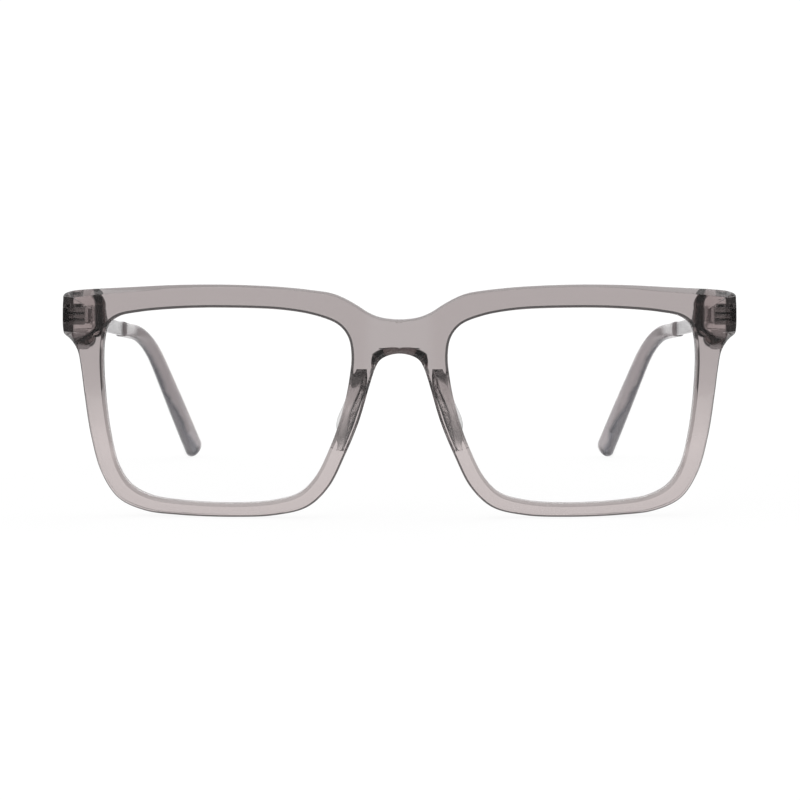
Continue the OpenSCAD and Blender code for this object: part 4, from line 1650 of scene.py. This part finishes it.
@dataclass
class Springs:
    """The two coil springs in the housings, grown along a spiral by geometry nodes.

    Attributes:
        start: Distance from the hinge to a spring's front end.
        stroke: How far the slide shortens it; not used.
        ease: How far the wire runs outside the middle of the gap between shaft and bore.
    """

    course: Course
    finishes: Finishes
    wire_d: float = 0.35
    turns: float = 7.0
    turn_steps: int = 28
    wire_steps: int = 12
    shaft_d: float = 0.8
    bore_d: float = 2.0
    start: float = 5.15
    length: float = 7.25
    stroke: float = 0.7
    ease: float = 0.02

    def tree(self) -> NodeTree:
        """Geometry nodes that sweep a round wire along a spiral.

        Returns:
            The tree, with named inputs for the sizes and the finish.
        """
        tree = bpy.data.node_groups.new("coil_spring", "GeometryNodeTree")
        sizes = ("Coil Radius", "Wire Radius", "Turns", "Length")
        sockets = [(name, "INPUT", "Float") for name in sizes]
        sockets += [("Finish", "INPUT", "Material"), ("Geometry", "OUTPUT", "Geometry")]
        for name, way, kind in sockets:
            tree.interface.new_socket(name, in_out=way, socket_type=f"NodeSocket{kind}")
        kinds = {
            "given": "NodeGroupInput",
            "spiral": "GeometryNodeCurveSpiral",
            "wire": "GeometryNodeCurvePrimitiveCircle",
            "sweep": "GeometryNodeCurveToMesh",
            "realize": "GeometryNodeRealizeInstances",
            "finish": "GeometryNodeSetMaterial",
            "result": "NodeGroupOutput",
        }
        nodes = {name: tree.nodes.new(kind) for name, kind in kinds.items()}
        nodes["spiral"].inputs["Resolution"].default_value = self.turn_steps
        nodes["wire"].inputs["Resolution"].default_value = self.wire_steps
        nodes["sweep"].inputs["Fill Caps"].default_value = True
        links = (
            ("given", "Coil Radius", "spiral", "Start Radius"),
            ("given", "Coil Radius", "spiral", "End Radius"),
            ("given", "Turns", "spiral", "Rotations"),
            ("given", "Length", "spiral", "Height"),
            ("given", "Wire Radius", "wire", "Radius"),
            ("spiral", "Curve", "sweep", "Curve"),
            ("wire", "Curve", "sweep", "Profile Curve"),
            ("sweep", "Mesh", "realize", "Geometry"),
            ("realize", "Geometry", "finish", "Geometry"),
            ("given", "Finish", "finish", "Material"),
            ("finish", "Geometry", "result", "Geometry"),
        )
        for source, output, target, name in links:
            tree.links.new(nodes[source].outputs[output], nodes[target].inputs[name])
        return tree

    def grown(self) -> Mesh:
        """The spring as a plain mesh, along +Z from the origin.

        Returns:
            The mesh, with the wire's finish.
        """
        holder = add_object("spring_source", bpy.data.meshes.new("spring_source"))
        grow = holder.modifiers.new("coil", "NODES")
        grow.node_group = self.tree()
        radius = (self.shaft_d + self.bore_d) / 4 + self.ease
        values = {
            "Coil Radius": radius * MM,
            "Wire Radius": self.wire_d / 2 * MM,
            "Turns": self.turns,
            "Length": (self.length - self.wire_d) * MM,
            "Finish": self.finishes.wire,
        }
        for item in grow.node_group.interface.items_tree:
            if item.in_out == "INPUT":
                grow[item.identifier] = values[item.name]
        evaluated = holder.evaluated_get(bpy.context.evaluated_depsgraph_get())
        mesh = bpy.data.meshes.new_from_object(evaluated)
        bpy.data.objects.remove(holder)
        return mesh

    def build(self) -> None:
        """Makes both springs in their housings."""
        source = self.grown()
        x, y, z = np.array([vertex.co for vertex in source.vertices], float).T / MM
        along = np.stack([x, self.start + self.wire_d / 2 + z, -y], axis=1)
        faces = [tuple(face.vertices) for face in source.polygons]
        parts = self.course.placed(MeshParts(along, faces))
        end = self.course.lying(np.array([[0.0, self.start + self.length, 0.0]]))[0] * MM
        for side in Side:
            obj = make_object(f"{side.node('spring')}_coil", parts.on(side), self.finishes.wire)
            settle(obj, Body.KNUCKLE.of(side), [side.node("spring")])
            slide = side.node("spring_slide")
            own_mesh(obj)
        bpy.data.meshes.remove(source)


@dataclass
class Studio:
    """A white table and backdrop, soft lamps, and a camera at the photograph's place.

    Distances are in metres and levels are shares of white. Names that end in _y, _z, _r, _side
    or _graze are the spans over which a level changes: the cards begin and dim over card_y,
    with a dark post between them, and the table gets dark beyond the slopes of table_side. The
    levels beyond and front are those past the cards and behind the camera.
    """

    target: Place = (0.0, 0.0, 0.02473)
    distance: float = 0.52
    elevation: float = 4.0
    view_w: float = 0.166
    sensor: float = 36.0
    shift: Span = (0.0005, 0.0006)
    dark: float = 0.03
    card: float = 0.85
    card_y: tuple[float, float, float, float] = (-0.2, 0.0, 0.76, 0.84)
    post_y: tuple[float, float, float, float] = (0.42, 0.47, 0.61, 0.66)
    beyond: float = 0.14
    front: float = 0.2
    front_y: Span = (-0.9, -0.5)
    wall_y: Span = (0.93, 0.975)
    above: float = 0.45
    above_z: Span = (0.45, 0.75)
    table: tuple[float, float, float, float] = (-0.4, -0.4, 0.4, 0.24)
    table_low: float = -0.00015
    table_graze: Span = (0.6, 0.85)
    table_shade: float = 0.26
    table_side: Span = (0.165, 0.23)
    table_gloss: float = 0.7
    table_light: float = 1.06
    cloth: float = 0.7
    shadow_middle: float = 0.06
    shadow_r: Span = (0.1, 0.17)
    shadowless: float = 0.86
    lamps: tuple[tuple[str, Place, float, float], ...] = (
        ("key_lamp", (-0.5, -0.5, 0.9), 1.2, 5.0),
        ("top_lamp", (0.5, 0.4, 1.1), 1.6, 6.0),
    )

    def camera(self) -> None:
        """Adds the camera and makes it the scene's."""
        data = bpy.data.cameras.new("camera")
        data.sensor_width = self.sensor
        data.lens = self.sensor * self.distance / self.view_w
        data.shift_x, data.shift_y = self.shift
        data.clip_start, data.clip_end = 0.01, 50.0
        obj = add_object("camera", data)
        tilt = math.radians(self.elevation)
        reach = Vector((0.0, -math.cos(tilt), math.sin(tilt))) * self.distance
        obj.location = Vector(self.target) + reach
        obj.rotation_euler = (math.pi / 2 - tilt, 0.0, 0.0)
        bpy.context.scene.camera = obj

    def world(self) -> None:
        """Adds the studio round the glasses: white wall behind, soft light above, dark sides."""
        world = bpy.data.worlds.new("studio")
        bpy.context.scene.world = world
        tree = Tree(world)
        ways = tree.add("SeparateXYZ", tree.add("TexCoord").outputs["Generated"]).outputs
        wall = tree.ease(ways["Y"], *self.wall_y, self.dark, self.table_light)
        card_in = tree.ease(ways["Y"], *self.card_y[:2], self.dark, self.card)
        card_out = tree.ease(ways["Y"], *self.card_y[2:], self.card, self.beyond)
        post_in = tree.ease(ways["Y"], *self.post_y[:2], self.card, self.dark)
        post_out = tree.ease(ways["Y"], *self.post_y[2:], self.dark, self.card)
        cards = tree.math("MINIMUM", card_in, card_out)
        cards = tree.math("MINIMUM", cards, tree.most(post_in, post_out))
        front = tree.ease(ways["Y"], *self.front_y, self.front, self.dark)
        above = tree.ease(ways["Z"], *self.above_z, 0.0, self.above)
        seen = tree.add("LightPath").outputs["Is Camera Ray"]
        light = tree.add("Background", opaque(1.0), tree.most(wall, cards, front, above, seen))
        tree.feed(light.outputs["Background"], tree.output.inputs["Surface"])

    def floor(self) -> None:
        """Adds the table: white to the camera and through the lenses, with a soft shadow.

        The layer weight paints shade into the table's glow: dim where seen steeply, white at a low
        angle.
        """
        material = bpy.data.materials.new("white_table")
        tree = Tree(material)
        split = tree.add("SeparateXYZ", tree.place()).outputs
        graze = tree.add("LayerWeight", 0.5).outputs["Facing"]
        kinds = ("Is Camera Ray", "Is Glossy Ray", "Is Transmission Ray")
        path = tree.add("LightPath").outputs
        seen, glossy, through = (path[kind] for kind in kinds)
        far = tree.math("ADD", tree.math("ABSOLUTE", split["Y"]), self.distance)
        aside = tree.math("DIVIDE", tree.math("ABSOLUTE", split["X"]), far)
        # Painted shade: the glow seen through the acetate dims at steep angles and off to the
        # sides.
        level = tree.ease(graze, *self.table_graze, self.table_shade, 1.0)
        level = tree.math("MULTIPLY", level, tree.ease(aside, *self.table_side, 1.0, self.dark))
        level = tree.most(level, seen, tree.math("MULTIPLY", glossy, self.table_gloss))
        ahead = tree.math("SUBTRACT", split["Y"], self.shadow_middle)
        squares = [tree.math("POWER", part, 2.0) for part in (split["X"], ahead)]
        away = tree.math("SQRT", tree.math("ADD", *squares))
        share = tree.ease(away, *self.shadow_r, self.shadowless, 1.0)
        share = tree.math("MULTIPLY", tree.most(glossy, through, seen), share)
        cloth = tree.add("BsdfDiffuse", opaque(self.cloth)).outputs["BSDF"]
        glow = tree.add("Emission", opaque(1.0), tree.math("MULTIPLY", level, self.table_light))
        blend = tree.add("MixShader", share, cloth, glow.outputs["Emission"])
        tree.feed(blend.outputs["Shader"], tree.output.inputs["Surface"])
        (x0, y0, x1, y1), low = self.table, self.table_low
        corners = np.array([[x0, y0, low], [x1, y0, low], [x1, y1, low], [x0, y1, low]]) / MM
        make_object("table_top", MeshParts(corners, [(0, 1, 2, 3)]), material)

    def lamp(self, name: str, place: Place, size: float, power: float) -> None:
        """Adds a soft square lamp that points at the glasses.

        Args:
            name: Its name.
            place: Where it hangs, in metres.
            size: Length of its sides, in metres.
            power: Its power in watts.
        """
        data = bpy.data.lights.new(name, "AREA")
        data.size = size
        data.energy = power
        obj = add_object(name, data)
        obj.location = place
        obj.visible_transmission = False
        aim = Vector(self.target) - Vector(place)
        obj.rotation_euler = aim.to_track_quat("-Z", "Y").to_euler()

    def build(self) -> None:
        """Adds everything that isn't part of the glasses."""
        bpy.context.scene.view_settings.view_transform = "Standard"
        self.camera()
        self.world()
        self.floor()
        for lamp in self.lamps:
            self.lamp(*lamp)


def plain(box: Sequence[Vector]) -> list[list[float]]:
    """A box's corners as lists of numbers."""
    return [list(corner) for corner in box]


def joint(name: str) -> dict[str, object]:
    """A joint of the frame, by its name."""
    return next(found for found in frame["joints"] if found["name"] == name)


def hinge_place() -> Points:
    """The left hinge axis, in millimetres, as the frame gives it."""
    return np.array(joint("left_fold")["pos_m"], float) / MM


def arm_lean() -> float:
    """Downward lean of the arms in degrees, from the slide's direction in the frame."""
    return math.degrees(math.asin(-joint("left_spring_slide")["axis"][2]))


def main() -> None:
    """Builds the glasses piece by piece."""
    logging.basicConfig(level=logging.INFO, format="%(name)s: %(message)s")
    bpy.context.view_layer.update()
    Studio().build()
    finishes = Finishes()
    hinge = hinge_place()
    front = AcetateFront(finishes, hinge_z=float(hinge[2]))
    front.build()
    Lenses(front).build()
    NosePads(front).build()
    course = Course(hinge, arm_lean())
    Arms(course, finishes).build()
    Tips(course, finishes).build()
    HingeParts(finishes).build()
    Springs(course, finishes).build()


if __name__ == "__main__":
    main()
